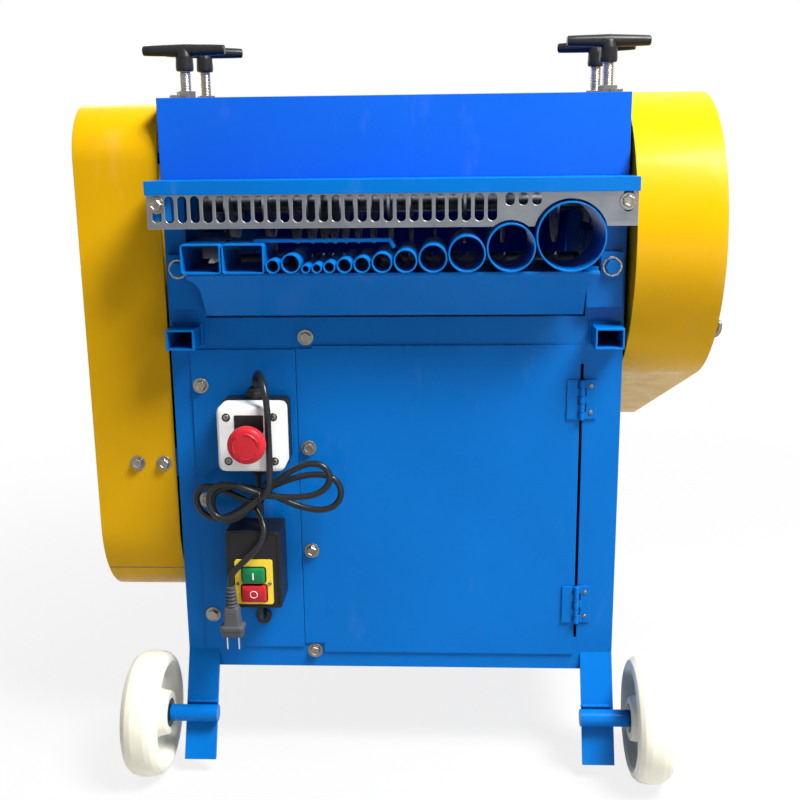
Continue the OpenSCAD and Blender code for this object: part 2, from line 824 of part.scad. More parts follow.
module left_guard() {
    color(yellow) placed() difference() {
        yz(-guard_far, -guard_x)
            rounded(left_y, left_z, left_y + left_d, left_top_z, left_r_low, left_r_top);
        yz(-guard_far + guard_t, -guard_x + 1)
            rounded(left_y + guard_t, left_z + guard_t, left_y + left_d - guard_t, left_top_z - guard_t,
                    left_r_low - guard_t, left_r_top - guard_t);
        for (x = guard_bolt_xs) bar_y(left_y - 1, left_y + guard_t + 1, x, guard_bolt_z, hole_r);
    }
}
inner_wall_y = 12;
module right_guard() {
    color(yellow) placed() {
        difference() {
            yz(guard_x, guard_far) loop_outline(guard_c, guard_r, tail_c, tail_r);
            yz(guard_x - 1, guard_far - guard_t)
                loop_outline(guard_c, guard_r - guard_t, tail_c, tail_r - guard_t);
        }
        yz(guard_x, guard_x + guard_t) intersection() {
            translate(guard_c) circle(guard_r - guard_t / 2);
            translate([guard_c[0] - guard_r, guard_c[1] - guard_r])
                square([guard_r + inner_wall_y - guard_c[0], 2 * guard_r]);
        }
    }
}
strap_t = 5;
strap_h = 32;
strap_over = 12;
module guard_stays() {
    color(blue) placed() {
        for (p = right_stays) bar_x(hx, guard_far - guard_t, p[0], p[1], stay_r);
        for (p = left_stays) bar_x(-guard_far + guard_t, -hx, p[0], p[1], stay_r);
        block([guard_bolt_xs[1] - strap_over, left_y + guard_t, guard_bolt_z - strap_h / 2],
              [-hx, left_y + guard_t + strap_t, guard_bolt_z + strap_h / 2]);
    }
}
module guard_knobs() {
    color(steel) placed() {
        bar_x(guard_far, knob_x, right_stays[0][0], right_stays[0][1], stay_r);
        bar_x(-knob_x, -guard_far, left_stays[0][0], left_stays[0][1], stay_r);
    }
}

// Works

// Outline of a spur gear with straight flanks; turn is the angle of its first tooth
module gear_outline(turn) {
    root_r = pitch_r - 1.25 * gear_m;
    tooth = 360 / gear_n;
    polygon([for (i = [0 : gear_n - 1], p = [[root_r, -0.29], [tip_r, -0.09], [tip_r, 0.09], [root_r, 0.29]])
        p[0] * [cos(turn + tooth * (i + p[1])), sin(turn + tooth * (i + p[1]))]]);
}
gear_out = 11;
belt_out = 45;
gear_x = hx + gear_out;
belt_x = hx + belt_out;
belt_w = 20;
roller_belt_r = 80;
jack_belt_r = 30;
belt_h = 5;
belt_play = 1;
left_belt_out = 18;
left_belt_x = hx + left_belt_out;
groove_w = 12;
rim_w = 4;
motor_belt_r = 40;
jack_pulley_r = 92;
groove_h = 7;
flange_t = 2;
shaft_end = 4;
shaft_in = 3;

module shaft_bearings() {
    color(steel) placed() both() {
        difference() {
            bar_x(inner_x - bearing_w, inner_x, axis_y, roller_z, bearing_r);
            bar_x(inner_x - bearing_w - 1, inner_x + 1, axis_y, roller_z, shaft_r + fit);
        }
        difference() {
            bar_x(inner_x - bearing_w, inner_x, jack_y, jack_z, bearing_r);
            bar_x(inner_x - bearing_w - 1, inner_x + 1, jack_y, jack_z, jack_r + fit);
        }
    }
}

// Sliding blocks that carry the cutter shaft
block_rise = 30;
block_drop = 32;
block_top = cutter_z + block_rise;
block_low = cutter_z - block_drop;
socket_depth = 12;
module bearing_blocks() {
    color(steel) placed() both() difference() {
        block([inner_x - play - block_w, axis_y - block_y, block_low],
              [inner_x - play, axis_y + block_y, block_top]);
        bar_x(inner_x - play - block_w - 1, inner_x + 1, axis_y, cutter_z, shaft_r + fit);
        for (s = [-1, 1]) translate([screw_x, axis_y + s * screw_span / 2, block_top - socket_depth])
            cylinder(h = socket_depth + 1, r = screw_r + fit);
    }
}

module cutter_shaft() {
    color(steel) placed() {
        bar_x(-inner_x + shaft_in, gear_x + gear_w + shaft_end, axis_y, cutter_z, shaft_r);
        yz(gear_x, gear_x + gear_w) translate([axis_y, cutter_z]) gear_outline(270 + 180 / gear_n);
    }
}
blade_t = 3;
module cutter_blades() {
    color(steel) placed() for (x = lane_xs) difference() {
        bar_x(x - blade_t / 2, x + blade_t / 2, axis_y, cutter_z, blade_r);
        bar_x(x - blade_t, x + blade_t, axis_y, cutter_z, shaft_r + fit);
    }
}

// Grooved roller that pulls the cable under the blades
drum_in = 14;
drum_x = inner_x - bearing_w - drum_in;
lane_w = 6;
lane_depth = 4;
module feed_roller() {
    color(steel) placed() {
        bar_x(-inner_x + shaft_in, belt_x + belt_w + shaft_end, axis_y, roller_z, shaft_r);
        difference() {
            bar_x(-drum_x, drum_x, axis_y, roller_z, roller_r);
            for (x = lane_xs) difference() {
                bar_x(x - lane_w / 2, x + lane_w / 2, axis_y, roller_z, roller_r + 1);
                bar_x(x - lane_w, x + lane_w, axis_y, roller_z, roller_r - lane_depth);
            }
        }
    }
}
module flat_pulley(x, y, z, r, bore) {
    difference() {
        union() {
            bar_x(x, x + belt_w, y, z, r);
            bar_x(x - flange_t, x, y, z, r + belt_h);
            bar_x(x + belt_w, x + belt_w + flange_t, y, z, r + belt_h);
        }
        if (bore > 0) bar_x(x - flange_t - 1, x + belt_w + flange_t + 1, y, z, bore);
    }
}
module roller_gear() {
    color(steel) placed() {
        difference() {
            yz(gear_x, gear_x + gear_w) translate([axis_y, roller_z]) gear_outline(90);
            bar_x(gear_x - 1, gear_x + gear_w + 1, axis_y, roller_z, shaft_r + fit);
        }
        flat_pulley(belt_x, axis_y, roller_z, roller_belt_r, shaft_r + fit);
    }
}

// Twin-groove pulley on the left side, from its inner face outward
groove_n = 2;
pulley_w = groove_n * (groove_w + rim_w) + rim_w;
module groove_pulley(y, z, r) {
    step = groove_w + rim_w;
    for (i = [0 : groove_n])
        bar_x(-left_belt_x - i * step - rim_w, -left_belt_x - i * step, y, z, r + groove_h);
    bar_x(-left_belt_x - groove_n * step, -left_belt_x, y, z, r);
}
module jack_shaft() {
    color(steel) placed() {
        bar_x(-left_belt_x - pulley_w - shaft_end, belt_x + belt_w + shaft_end, jack_y, jack_z, jack_r);
        groove_pulley(jack_y, jack_z, jack_pulley_r);
        flat_pulley(belt_x, jack_y, jack_z, jack_belt_r, 0);
    }
}
rotor_in = 20;
rotor_gap = 2;
module motor_pulley() {
    color(steel) placed() {
        bar_x(-left_belt_x - pulley_w - rotor_gap, motor_x0 + rotor_in - rotor_gap,
              motor_y, motor_z, motor_shaft_r);
        groove_pulley(motor_y, motor_z, motor_belt_r);
    }
}

// Motor with end shields, feet, terminal box and cooling fins
shield_w = 24;
shield_step = 6;
fan_w = 50;
fan_step = 3;
foot_rise = 16;
foot_over = 4;
box_x = -110;
box_w = 80;
box_y = 42;
box_rise = 26;
fin_n = 8;
fin_pitch = 19;
fin_in = 34;
fin_w = 6;
fin_depth = 8;
module motor() {
    color(blue) placed() difference() {
        union() {
            bar_x(motor_x0, motor_x0 + shield_w, motor_y, motor_z, motor_r - shield_step);
            bar_x(motor_x0 + shield_w, motor_x1 - fan_w, motor_y, motor_z, motor_r);
            bar_x(motor_x1 - fan_w, motor_x1, motor_y, motor_z, motor_r - fan_step);
            block([stand_x[0] - foot_over, motor_y - motor_foot_y, motor_foot_z],
                  [stand_x[1] + stand_t + foot_over, motor_y + motor_foot_y, motor_z - motor_r + foot_rise]);
            block([box_x, motor_y - box_y, motor_z],
                  [box_x + box_w, motor_y + box_y, motor_z + motor_r + box_rise]);
        }
        bar_x(motor_x0 - 1, motor_x0 + rotor_in, motor_y, motor_z, motor_shaft_r + fit);
        for (i = [0 : fin_n - 1]) fin_groove(motor_x0 + fin_in + i * fin_pitch);
    }
}

// Groove between two cooling fins, on the lower half only
module fin_groove(x) {
    reach = motor_r + box_rise;
    difference() {
        bar_x(x, x + fin_w, motor_y, motor_z, reach);
        bar_x(x - 1, x + fin_w + 1, motor_y, motor_z, motor_r - fin_depth);
        block([x - 1, motor_y - reach, motor_z], [x + fin_w + 1, motor_y + reach, motor_z + reach + 1]);
        block([x - 1, motor_y - reach, motor_z - reach - 1],
              [x + fin_w + 1, motor_y + reach, motor_z - motor_r + foot_rise + 2]);
    }
}

// Belt around two pulleys, bent in short straight steps
belt_steps = 24;
function belt_line(c1, r1, c2, r2) = let (base = heading(c1, c2), open = wrap(c1, r1, c2, r2)) concat(
    [for (i = [0 : belt_steps]) on(c1, r1, base + open + i * (360 - 2 * open) / belt_steps)],
    [for (i = [0 : belt_steps]) on(c2, r2, base - open + i * 2 * open / belt_steps)]);
module belt(x0, x1, c1, r1, c2, r2, h) {
    yz(x0, x1) difference() {
        polygon(belt_line(c1, r1 + belt_play + h, c2, r2 + belt_play + h));
        polygon(belt_line(c1, r1 + belt_play, c2, r2 + belt_play));
    }
}
module drive_belts() {
    color(black) placed() {
        for (i = [0, 1]) {
            x1 = -left_belt_x - i * (groove_w + rim_w) - rim_w - belt_play;
            belt(x1 - groove_w + 2 * belt_play, x1, [motor_y, motor_z], motor_belt_r,
                 [jack_y, jack_z], jack_pulley_r, groove_h);
        }
        belt(belt_x + belt_play, belt_x + belt_w - belt_play, [axis_y, roller_z], roller_belt_r,
             [jack_y, jack_z], jack_belt_r, belt_h);
    }
}

// T-handle on an adjusting screw; turn is the bar's angle at rest and rise its extra height
hub_rise = 31;
bar_rise = 53;
hub_r = 9.7;
bar_r = 6.8;
bar_end_r = 5.4;
module t_handle(sx, sy, turn, rise) {
    low_z = block_top - socket_depth + play;
    bar_z = top_z + bar_rise + rise;
    color(black) placed() translate([sx * screw_x, axis_y + sy * screw_span / 2, 0]) {
        translate([0, 0, low_z]) cylinder(h = bar_z - low_z, r = screw_r);
        translate([0, 0, top_z + hub_rise + rise]) cylinder(h = bar_rise - hub_rise, r = hub_r);
        translate([0, 0, bar_z]) rotate([0, 0, turn]) both() rotate([0, 90, 0])
            cylinder(h = bar_l / 2, r1 = bar_r, r2 = bar_end_r);
    }
}
screw_turns = [0, 20, 5, -18];
screw_rises = [0, 6, 3, 6];
module t_handle_front_left() { t_handle(-1, -1, screw_turns[0], screw_rises[0]); }
module t_handle_rear_left() { t_handle(-1, 1, screw_turns[1], screw_rises[1]); }
module t_handle_front_right() { t_handle(1, -1, screw_turns[2], screw_rises[2]); }
module t_handle_rear_right() { t_handle(1, 1, screw_turns[3], screw_rises[3]); }

// Electrics

stop_in = 72.6;
stop_x = panel_x0 + stop_in;
stop_z = 400;
stop_base_d = 24;
stop_face_y = -door_t - stop_d;
stop_split_y = -door_t - stop_base_d;
stem_r = 11;
stem_in = 20;
stem_room = 6;
cap_y = stop_face_y - head_out;
cap_d = 14;
collar_out = 8;
collar_r = 14.5;
collar_y = stop_face_y - collar_out;
stem_over = 8;
stem_end = collar_y - stem_over;
stop_base_r = 6;
stop_cover_r = 7;
stop_step = 3;
stop_inset = 2;
gland_y = -14;
gland_h = 12;
low_gland_h = 15;
gland_r = 8.5;
gland_nut_r = 11;
module stop_outline(r) {
    translate([stop_x, stop_z]) rounded(-stop_w / 2, -stop_w / 2, stop_w / 2, stop_w / 2, r, r);
}
module estop_base() {
    color(black) placed() xz(stop_split_y, -door_t) stop_outline(stop_base_r);
}
module estop_cover() {
    face_half = stop_w / 2 - stop_inset;
    color(white) placed() difference() {
        union() {
            xz(stop_face_y + stop_step, stop_split_y) stop_outline(stop_cover_r);
            xz(stop_face_y, stop_face_y + stop_step + eps) translate([stop_x, stop_z])
                rounded(-face_half, -face_half, face_half, face_half, stop_cover_r, stop_cover_r);
        }
        bar_y(stop_face_y - 1, stop_face_y + stem_in + stem_room, stop_x, stop_z, stem_r + fit);
    }
}
module estop_stem() {
    color(black) placed() bar_y(stem_end, stop_face_y + stem_in, stop_x, stop_z, stem_r);
}
module estop_head() {
    color(red) placed() translate([stop_x, cap_y, stop_z]) rotate([-90, 0, 0]) difference() {
        rotate_extrude() polygon([[0, 0], [mushroom_r - 7, 0], [mushroom_r - 2, 2], [mushroom_r, 6],
                                  [mushroom_r, cap_d - 3], [mushroom_r - 2, cap_d], [collar_r, cap_d + 1],
                                  [collar_r, collar_y - cap_y], [0, collar_y - cap_y]]);
        translate([0, 0, stem_end - cap_y - play]) cylinder(h = head_out, r = stem_r + fit);
    }
}
module gland(z, h) {
    translate([stop_x, gland_y, z]) {
        cylinder(h = 0.6 * h, r = gland_nut_r, $fn = 6);
        cylinder(h = h, r = gland_r);
    }
}
module estop_glands() {
    color(black) placed() {
        gland(stop_z + stop_w / 2, gland_h);
        translate([0, 0, stop_z - stop_w / 2]) mirror([0, 0, 1]) gland(0, low_gland_h);
    }
}

switch_in = 68;
switch_x = panel_x0 + switch_in;
switch_z0 = 204;
switch_r = 3;
switch_z1 = switch_z0 + switch_h;
switch_y = -door_t - switch_d;
face_t = 2;
button_travel = 3;
button_out = 5;
button_in = 5;
start_box = [switch_x - 12.5, switch_z0 + 31, 25, 17];
stop_box = [switch_x - 13.5, switch_z0 + 8.5, 27, 19.5];
face_box = [switch_x - 21, switch_z0 + 5, 42, 52];
module button_hole(b, grow, y0, y1) {
    xz(y0, y1) translate([b[0], b[1]]) rounded(-grow, -grow, b[2] + grow, b[3] + grow, switch_r, switch_r);
}
module switch_box() {
    color(black) placed() difference() {
        xz(switch_y, -door_t) rounded(switch_x - switch_w / 2, switch_z0,
                                      switch_x + switch_w / 2, switch_z1, switch_r, switch_r);
        for (b = [start_box, stop_box])
            button_hole(b, play, switch_y - 1, switch_y + button_in + button_travel + 1);
    }
}
module switch_plate() {
    color(yellow) placed() difference() {
        button_hole(face_box, 0, switch_y - face_t, switch_y);
        for (b = [start_box, stop_box]) button_hole(b, play, switch_y - face_t - 1, switch_y + 1);
    }
}
module button(b) {
    button_hole(b, 0, switch_y - face_t - button_out, switch_y + button_in);
}
module button_start() { color(green) placed() button(start_box); }
module button_stop() { color(red) placed() button(stop_box); }

// Short cables: stop box to switch, and switch to the grommet in the panel
cable_r = 3.5;
bend_r = 20;
module switch_cables() {
    color(black) placed() {
        translate([stop_x, gland_y, switch_z1])
            cylinder(h = stop_z - stop_w / 2 - low_gland_h - switch_z1, r = cable_r);
        translate([grommet_x, -door_t, grommet_z + bend_r]) rotate([0, 90, 0]) rotate([0, 0, -90])
            rotate_extrude(angle = 90) translate([bend_r, 0]) circle(cable_r);
        translate([grommet_x, -door_t - bend_r, grommet_z + bend_r])
            cylinder(h = switch_z0 - grommet_z - bend_r, r = cable_r);
        bar_y(-door_t - grommet_t, -door_t, grommet_x, grommet_z, grommet_r);
    }
}

// Wheels

spindle_r = 8;
wheel_out = 37;
wheel_x = hx + wheel_out;
wheel_gap = 1;
stub_in = 2;
nut_t = 3;
nut_over = 4;
module stub_axles() {
    half = wheel_w / 2;
    color(blue) placed() both() {
        bar_x(post_x + stub_in, wheel_x - half - wheel_gap, axle_y, wheel_r, stub_r);
        bar_x(wheel_x - half - 2 * wheel_gap, wheel_x + half + 2 * wheel_gap, axle_y, wheel_r, spindle_r);
        bar_x(wheel_x + half + wheel_gap, wheel_x + half + wheel_gap + nut_t,
              axle_y, wheel_r, spindle_r + nut_over);
    }
}

// Wheel with a crowned tread, a dished face and a wide hub
wheel_hub_r = 24;
hub_taper = 3;
rim_h = 20;
dish_depth = 14;
module wheel() {
    half = wheel_w / 2;
    side = [[wheel_hub_r, half], [wheel_hub_r + hub_taper, half - dish_depth],
            [wheel_r - rim_h, half - dish_depth], [wheel_r - rim_h + 4, half - 3], [wheel_r - 12, half],
            [wheel_r - 6, half - 2.5], [wheel_r - 2, half - 7.5], [wheel_r, half - 14]];
    back = [for (i = [len(side) - 1 : -1 : 0]) side[i]];
    color(cream) placed() translate([wheel_x, axle_y, wheel_r]) rotate([0, 90, 0]) rotate_extrude($fn = 96)
        polygon(concat([[spindle_r + fit, -half]], [for (p = side) [p[0], -p[1]]], back,
                       [[spindle_r + fit, half]]));
}
module wheel_right() { wheel(); }
module wheel_left() { mirror([1, 0, 0]) wheel(); }

// Cord and plug

function unit(v) = v / norm(v);
function tangents(p) = [for (i = [0 : len(p) - 1]) unit(p[min(i + 1, len(p) - 1)] - p[max(i - 1, 0)])];
function across(v, t) = unit(v - (v * t) * t);
function normals(t) = [for (i = 0, n = across([0.3, 1, 0.2], t[0]); i < len(t);
                            i = i + 1, n = i < len(t) ? across(n, t[i]) : n) n];

// Tube of radius r swept along the points p
module tube(p, r, sides) {
    t = tangents(p);
    n = normals(t);
    last = len(p) - 1;
    ring = [for (k = [0 : sides - 1]) r * [cos(360 * k / sides), sin(360 * k / sides)]];
    walls = [for (i = [0 : last - 1], k = [0 : sides - 1])
        let (a = i * sides + k, b = i * sides + (k + 1) % sides)
            each [[a, b + sides, b], [a, a + sides, b + sides]]];
    caps = [for (k = [1 : sides - 2])
        each [[0, k, k + 1], [last * sides, last * sides + k + 1, last * sides + k]]];
    polyhedron(
        points = [for (i = [0 : last], c = ring) p[i] + c[0] * n[i] + c[1] * cross(t[i], n[i])],
        faces = concat(walls, caps));
}

// Tied hank: a plain solid of its outer shape, drawn in at the waist
cord_r = cord_d / 2;
waist = [-142, -64, 338];
hank_end = [-164, -40, 320];
hank_d = 41.8;
hank_room = 0.6;
neck_x = 6;
neck_r = 6;
left_lobe = [-193, 324];
left_lobe_r = 29;
top_lobe = [-88, 357];
top_lobe_r = 22;
right_lobe = [-80, 335];
right_lobe_r = 24;
hank_y = waist[1] - cord_r - hank_room;
module lobe(x, c, r) {
    hull() {
        translate([waist[0] + x, waist[2]]) circle(neck_r, $fn = 32);
        translate(c) circle(r, $fn = 32);
    }
}
module cord_hank() {
    color(black) placed() xz(hank_y, hank_y + hank_d) {
        lobe(-neck_x, left_lobe, left_lobe_r);
        lobe(neck_x, top_lobe, top_lobe_r);
        lobe(neck_x, right_lobe, right_lobe_r);
        translate([waist[0] - neck_x, waist[2] - neck_r]) square(2 * [neck_x, neck_r]);
    }
}

plug_top = [-179, -60, 236];
lead_line = [[stop_x, gland_y, stop_z + stop_w / 2 + gland_h], [stop_x, gland_y, 452], [-150, -18.5, 460],
    [-146, -28, 465], [-141.5, -39, 465.5], [-137, -49.5, 461.5], [-133.5, -57, 453], [-131.5, -61, 442],
    [-131, -62, 430], [-131, -61.5, 415], [-131, -61, 400], [-131, -61, 380], [-131, -62, 367],
    [-131, -64, 355], [-132, -64, 348], [-136.5, -64, 342.3], waist];
tail_line = [hank_end, [-156, -40.6, 314], [-150, -42, 310.4], [-145, -45, 306.5], [-142, -49, 301],
    [-142, -53, 293], [-145, -57, 284], [-151, -59, 277], [-158.5, -60, 269.5], [-166, -60, 262],
    [-172, -60, 256], [-176.5, -60, 250.5], [-179, -60, 243.5], plug_top];
module cord_lead() { color(black) placed() tube(lead_line, cord_r, 10); }
module cord_tail() { color(black) placed() tube(tail_line, cord_r, 10); }

// Band round the waist of the hank
tie_w = 3;
tie_t = 1.5;
tie_room = 0.6;
tie_r = 2.5;
module cord_tie() {
    y0 = hank_y - play;
    y1 = hank_y + hank_d + play;
    half = neck_r + tie_room;
    color(black) placed() yz(waist[0] - tie_w / 2, waist[0] + tie_w / 2) difference() {
        rounded(y0 - tie_t, waist[2] - half - tie_t, y1 + tie_t, waist[2] + half + tie_t, tie_r, tie_r);
        translate([y0, waist[2] - half]) square([y1 - y0, 2 * half]);
    }
}

relief_h = 23;
relief_ribs = 5;
rib_pitch = 4;
rib_h = 2;
plug_body_h = 23;
plug_flange_h = 12;
blade_pitch = 12.7;
relief_r = 4.6;
relief_swell = 0.6;
rib_r = 6.8;
module plug_part(z0, z1, w, d, r) {
    translate([0, 0, z0]) linear_extrude(z1 - z0) rounded(-w / 2, -d / 2, w / 2, d / 2, r, r);
}
module plug_body() {
    flange_z = -relief_h - plug_body_h;
    color(black) placed() translate(plug_top) {
        translate([0, 0, -relief_h]) cylinder(h = relief_h, r1 = relief_r + relief_swell, r2 = relief_r);
        for (i = [0 : relief_ribs - 1]) translate([0, 0, -relief_h + i * rib_pitch])
            cylinder(h = rib_h, r = rib_r - 0.25 * i);
        plug_part(flange_z, -relief_h, 18.5, 14, 3.5);
        plug_part(flange_z - plug_flange_h, flange_z, 27, 18, 5);
    }
}
plug_blade_l = 16;
plug_blade_w = 6.5;
plug_blade_t = 1.5;
module plug_blades() {
    face_z = -relief_h - plug_body_h - plug_flange_h;
    color(steel) placed() translate(plug_top) for (s = [-1, 1])
        block([s * blade_pitch / 2 - plug_blade_t / 2, -plug_blade_w / 2, face_z - plug_blade_l],
              [s * blade_pitch / 2 + plug_blade_t / 2, plug_blade_w / 2, face_z]);
}

// Sub-parts

side_plates();
front_posts();
rear_posts();
front_rails();
base_tray();
handle_sockets();
rear_panel();
rear_hood();
top_cover();
screw_nuts();
visor_ledge();
tube_shelf();
feed_tubes_square();
feed_tubes_round();
hold_down_strip();
switch_panel();
frame_bolts();
left_guard();
right_guard();
guard_stays();
guard_knobs();
hinge_leaves();
estop_base();
estop_cover();
estop_glands();
switch_box();
switch_plate();
switch_cables();
shaft_bearings();
motor();
drive_belts();
stub_axles();
bearing_blocks();
cutter_shaft();
cutter_blades();
feed_roller();
roller_gear();
jack_shaft();
motor_pulley();
guide_plate();
door();
door_leaves();
door_bolts();
wheel_left();
wheel_right();
t_handle_front_left();
t_handle_front_right();
t_handle_rear_left();
t_handle_rear_right();
estop_stem();
estop_head();
button_start();
button_stop();
cord_lead();
cord_hank();
cord_tail();
cord_tie();
plug_body();
plug_blades();
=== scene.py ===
import json
import math

import bmesh
import bpy
from mathutils import Matrix, Vector, noise


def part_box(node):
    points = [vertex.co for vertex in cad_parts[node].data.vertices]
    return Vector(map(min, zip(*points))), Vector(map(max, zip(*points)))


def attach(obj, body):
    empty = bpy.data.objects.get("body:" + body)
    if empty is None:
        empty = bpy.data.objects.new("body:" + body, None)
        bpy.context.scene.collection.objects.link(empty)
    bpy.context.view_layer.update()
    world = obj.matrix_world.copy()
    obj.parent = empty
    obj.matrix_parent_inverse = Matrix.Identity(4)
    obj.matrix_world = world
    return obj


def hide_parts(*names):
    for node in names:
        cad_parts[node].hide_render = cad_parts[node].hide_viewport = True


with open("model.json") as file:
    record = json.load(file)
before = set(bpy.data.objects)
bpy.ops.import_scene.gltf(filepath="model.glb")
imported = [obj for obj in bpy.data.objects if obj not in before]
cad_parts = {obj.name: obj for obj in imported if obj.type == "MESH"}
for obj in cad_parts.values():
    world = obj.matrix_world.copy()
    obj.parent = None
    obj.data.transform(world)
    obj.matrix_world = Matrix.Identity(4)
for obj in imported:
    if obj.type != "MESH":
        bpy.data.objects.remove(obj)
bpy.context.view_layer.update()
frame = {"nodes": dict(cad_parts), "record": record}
record = frame["record"]
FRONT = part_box("door")[1][1]  # the machine's front plane, in the part's Y


def at(x, y, z):
    """A point given in mm from the front plane, as metres in the part's frame."""
    return Vector((x / 1000, FRONT + y / 1000, z / 1000))


# Camera, fitted to the photo

CAMERA_AT = (58.7, -1130.0, 696.0)
CAMERA_TURN = (13.23, -2.72, 0.66)  # pitch down, yaw and roll, in degrees
FOCAL_PX, PHOTO_PX, SENSOR_MM = 1060.4, 800, 36


def make_camera():
    pitch, yaw, roll = (math.radians(a) for a in CAMERA_TURN)
    ahead = Vector((math.sin(yaw) * math.cos(pitch), math.cos(yaw) * math.cos(pitch), -math.sin(pitch)))
    right = Vector((math.cos(yaw), -math.sin(yaw), 0))
    down = ahead.cross(right)
    r2 = math.cos(roll) * right + math.sin(roll) * down
    d2 = -math.sin(roll) * right + math.cos(roll) * down
    data = bpy.data.cameras.new("camera")
    data.sensor_width = SENSOR_MM
    data.lens = FOCAL_PX / PHOTO_PX * SENSOR_MM
    data.clip_start = 0.05
    cam = bpy.data.objects.new("camera", data)
    turn = Matrix((r2, -d2, -ahead)).transposed().to_4x4()
    cam.matrix_world = Matrix.Translation(at(*CAMERA_AT)) @ turn
    bpy.context.scene.collection.objects.link(cam)
    bpy.context.scene.camera = cam


make_camera()

# Mesh helpers: shapes are made in mm and placed by a matrix

MM = Matrix.Scale(0.001, 4)
SHARP = math.radians(35)  # faces that meet at a larger angle keep a hard edge


def place(x, y, z, turn=None):
    m = Matrix.Translation(at(x, y, z))
    return m @ turn.to_4x4() @ MM if turn else m @ MM


FACING = Matrix.Rotation(math.radians(90), 4, "X")  # local +Z comes out of the front, towards -Y
ALONG_X = Matrix.Rotation(math.radians(90), 4, "Y")  # local +Z goes to +X


def joined(*parts):
    """One bmesh of several, each given as a bmesh or as (bmesh, matrix)."""
    whole = bmesh.new()
    for p in parts:
        bm, m = p if isinstance(p, tuple) else (p, Matrix.Identity(4))
        bmesh.ops.transform(bm, matrix=m, verts=bm.verts)
        scratch = bpy.data.meshes.new("scratch")
        bm.to_mesh(scratch)
        whole.from_mesh(scratch)
        bpy.data.meshes.remove(scratch)
        bm.free()
    return whole


def lathe(profile, seg):
    """Turns (radius, height) points about Z; a radius of 0 closes the shape."""
    bm = bmesh.new()
    rings = []
    for r, z in profile:
        if r <= 1e-6:
            rings.append([bm.verts.new((0, 0, z))])
        else:
            angles = [2 * math.pi * k / seg for k in range(seg)]
            rings.append([bm.verts.new((r * math.cos(a), r * math.sin(a), z)) for a in angles])
    for a, b in zip(rings, rings[1:]):
        for k in range(seg):
            quad = [a[k % len(a)], a[(k + 1) % seg % len(a)], b[(k + 1) % seg % len(b)], b[k % len(b)]]
            face = [v for i, v in enumerate(quad) if v not in quad[:i]]
            if len(face) > 2:
                bm.faces.new(face)
    return bm


def rounded(profile, closed=False, steps=4):
    """Rounds the corners of (x, y, radius) points into a list of (x, y)."""
    out = []
    n = len(profile)
    for i, (x, y, r) in enumerate(profile):
        p = Vector((x, y))
        if r <= 0 or (not closed and i in (0, n - 1)):
            out.append((x, y))
            continue
        a = Vector(profile[i - 1][:2]) - p
        b = Vector(profile[(i + 1) % n][:2]) - p
        ang = a.angle(b) / 2
        cut = min(r / math.tan(ang), 0.49 * a.length, 0.49 * b.length)
        p0, p1 = p + cut * a.normalized(), p + cut * b.normalized()
        for s in range(steps + 1):
            t = s / steps
            q = (1 - t) ** 2 * p0 + 2 * t * (1 - t) * p + t ** 2 * p1
            out.append((q.x, q.y))
    return out


def rect(w, h, r, steps=6):
    """Outline of a rounded rectangle about the origin, counter-clockwise."""
    return rounded([(-w / 2, -h / 2, r), (w / 2, -h / 2, r), (w / 2, h / 2, r), (-w / 2, h / 2, r)], True, steps)


def loft(sections, caps=True):
    """Skins outlines of equal length, given as (list of (x, y), z)."""
    bm = bmesh.new()
    rings = [[bm.verts.new((x, y, z)) for x, y in pts] for pts, z in sections]
    n = len(rings[0])
    for a, b in zip(rings, rings[1:]):
        for k in range(n):
            bm.faces.new((a[k], a[(k + 1) % n], b[(k + 1) % n], b[k]))
    if caps:
        bm.faces.new(rings[0][::-1])
        bm.faces.new(rings[-1])
    return bm


def pad(w, h, z0, z1, r, ease):
    """A rounded block whose top edge is eased."""
    steps = [(0, z0)] + [(ease * (1 - math.cos(a)), z1 - ease + ease * math.sin(a))
                         for a in (math.radians(d) for d in (0, 22, 45, 67, 90))]
    return loft([(rect(w - 2 * e, h - 2 * e, max(r - e, 0.3)), z) for e, z in steps])


def sweep(points, outline, closed=False):
    """Sweeps a small outline along points in mm."""
    pts = [Vector(p) for p in points]
    n = len(pts)
    bm = bmesh.new()
    rings = []
    normal = None
    for i, p in enumerate(pts):
        t = (pts[(i + 1) % n] - pts[i - 1]) if closed else (pts[min(i + 1, n - 1)] - pts[max(i - 1, 0)])
        t.normalize()
        if normal is None:
            normal = t.orthogonal()
        normal = (normal - normal.dot(t) * t).normalized()
        side = t.cross(normal)
        rings.append([bm.verts.new(p + x * normal + y * side) for x, y in outline])
    m = len(outline)
    pairs = list(zip(rings, rings[1:])) + ([(rings[-1], rings[0])] if closed else [])
    for a, b in pairs:
        for k in range(m):
            bm.faces.new((a[k], a[(k + 1) % m], b[(k + 1) % m], b[k]))
    if not closed:
        bm.faces.new(rings[0][::-1])
        bm.faces.new(rings[-1])
    return bm


def round_bar(r, n):
    """Outline of a round bar with n sides."""
    return [(r * math.cos(2 * math.pi * k / n), r * math.sin(2 * math.pi * k / n)) for k in range(n)]


def piece(name, bm, material, body, replaces=()):
    """Makes an object of a bmesh in part coordinates, riding on a body."""
    bmesh.ops.recalc_face_normals(bm, faces=bm.faces)
    mesh = bpy.data.meshes.new(name)
    bm.to_mesh(mesh)
    bm.free()
    mesh.materials.append(material)
    mesh.shade_smooth()
    mesh.set_sharp_from_angle(angle=SHARP)
    obj = bpy.data.objects.new(name, mesh)
    bpy.context.scene.collection.objects.link(obj)
    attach(obj, body)
    if replaces:
        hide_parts(*replaces)
    return obj


# Materials

def shader(name):
    m = bpy.data.materials.new(name)
    m.use_nodes = True
    tree = m.node_tree
    bsdf = tree.nodes["Principled BSDF"]
    coords = tree.nodes.new("ShaderNodeTexCoord")
    return m, tree, bsdf, coords.outputs["Object"]


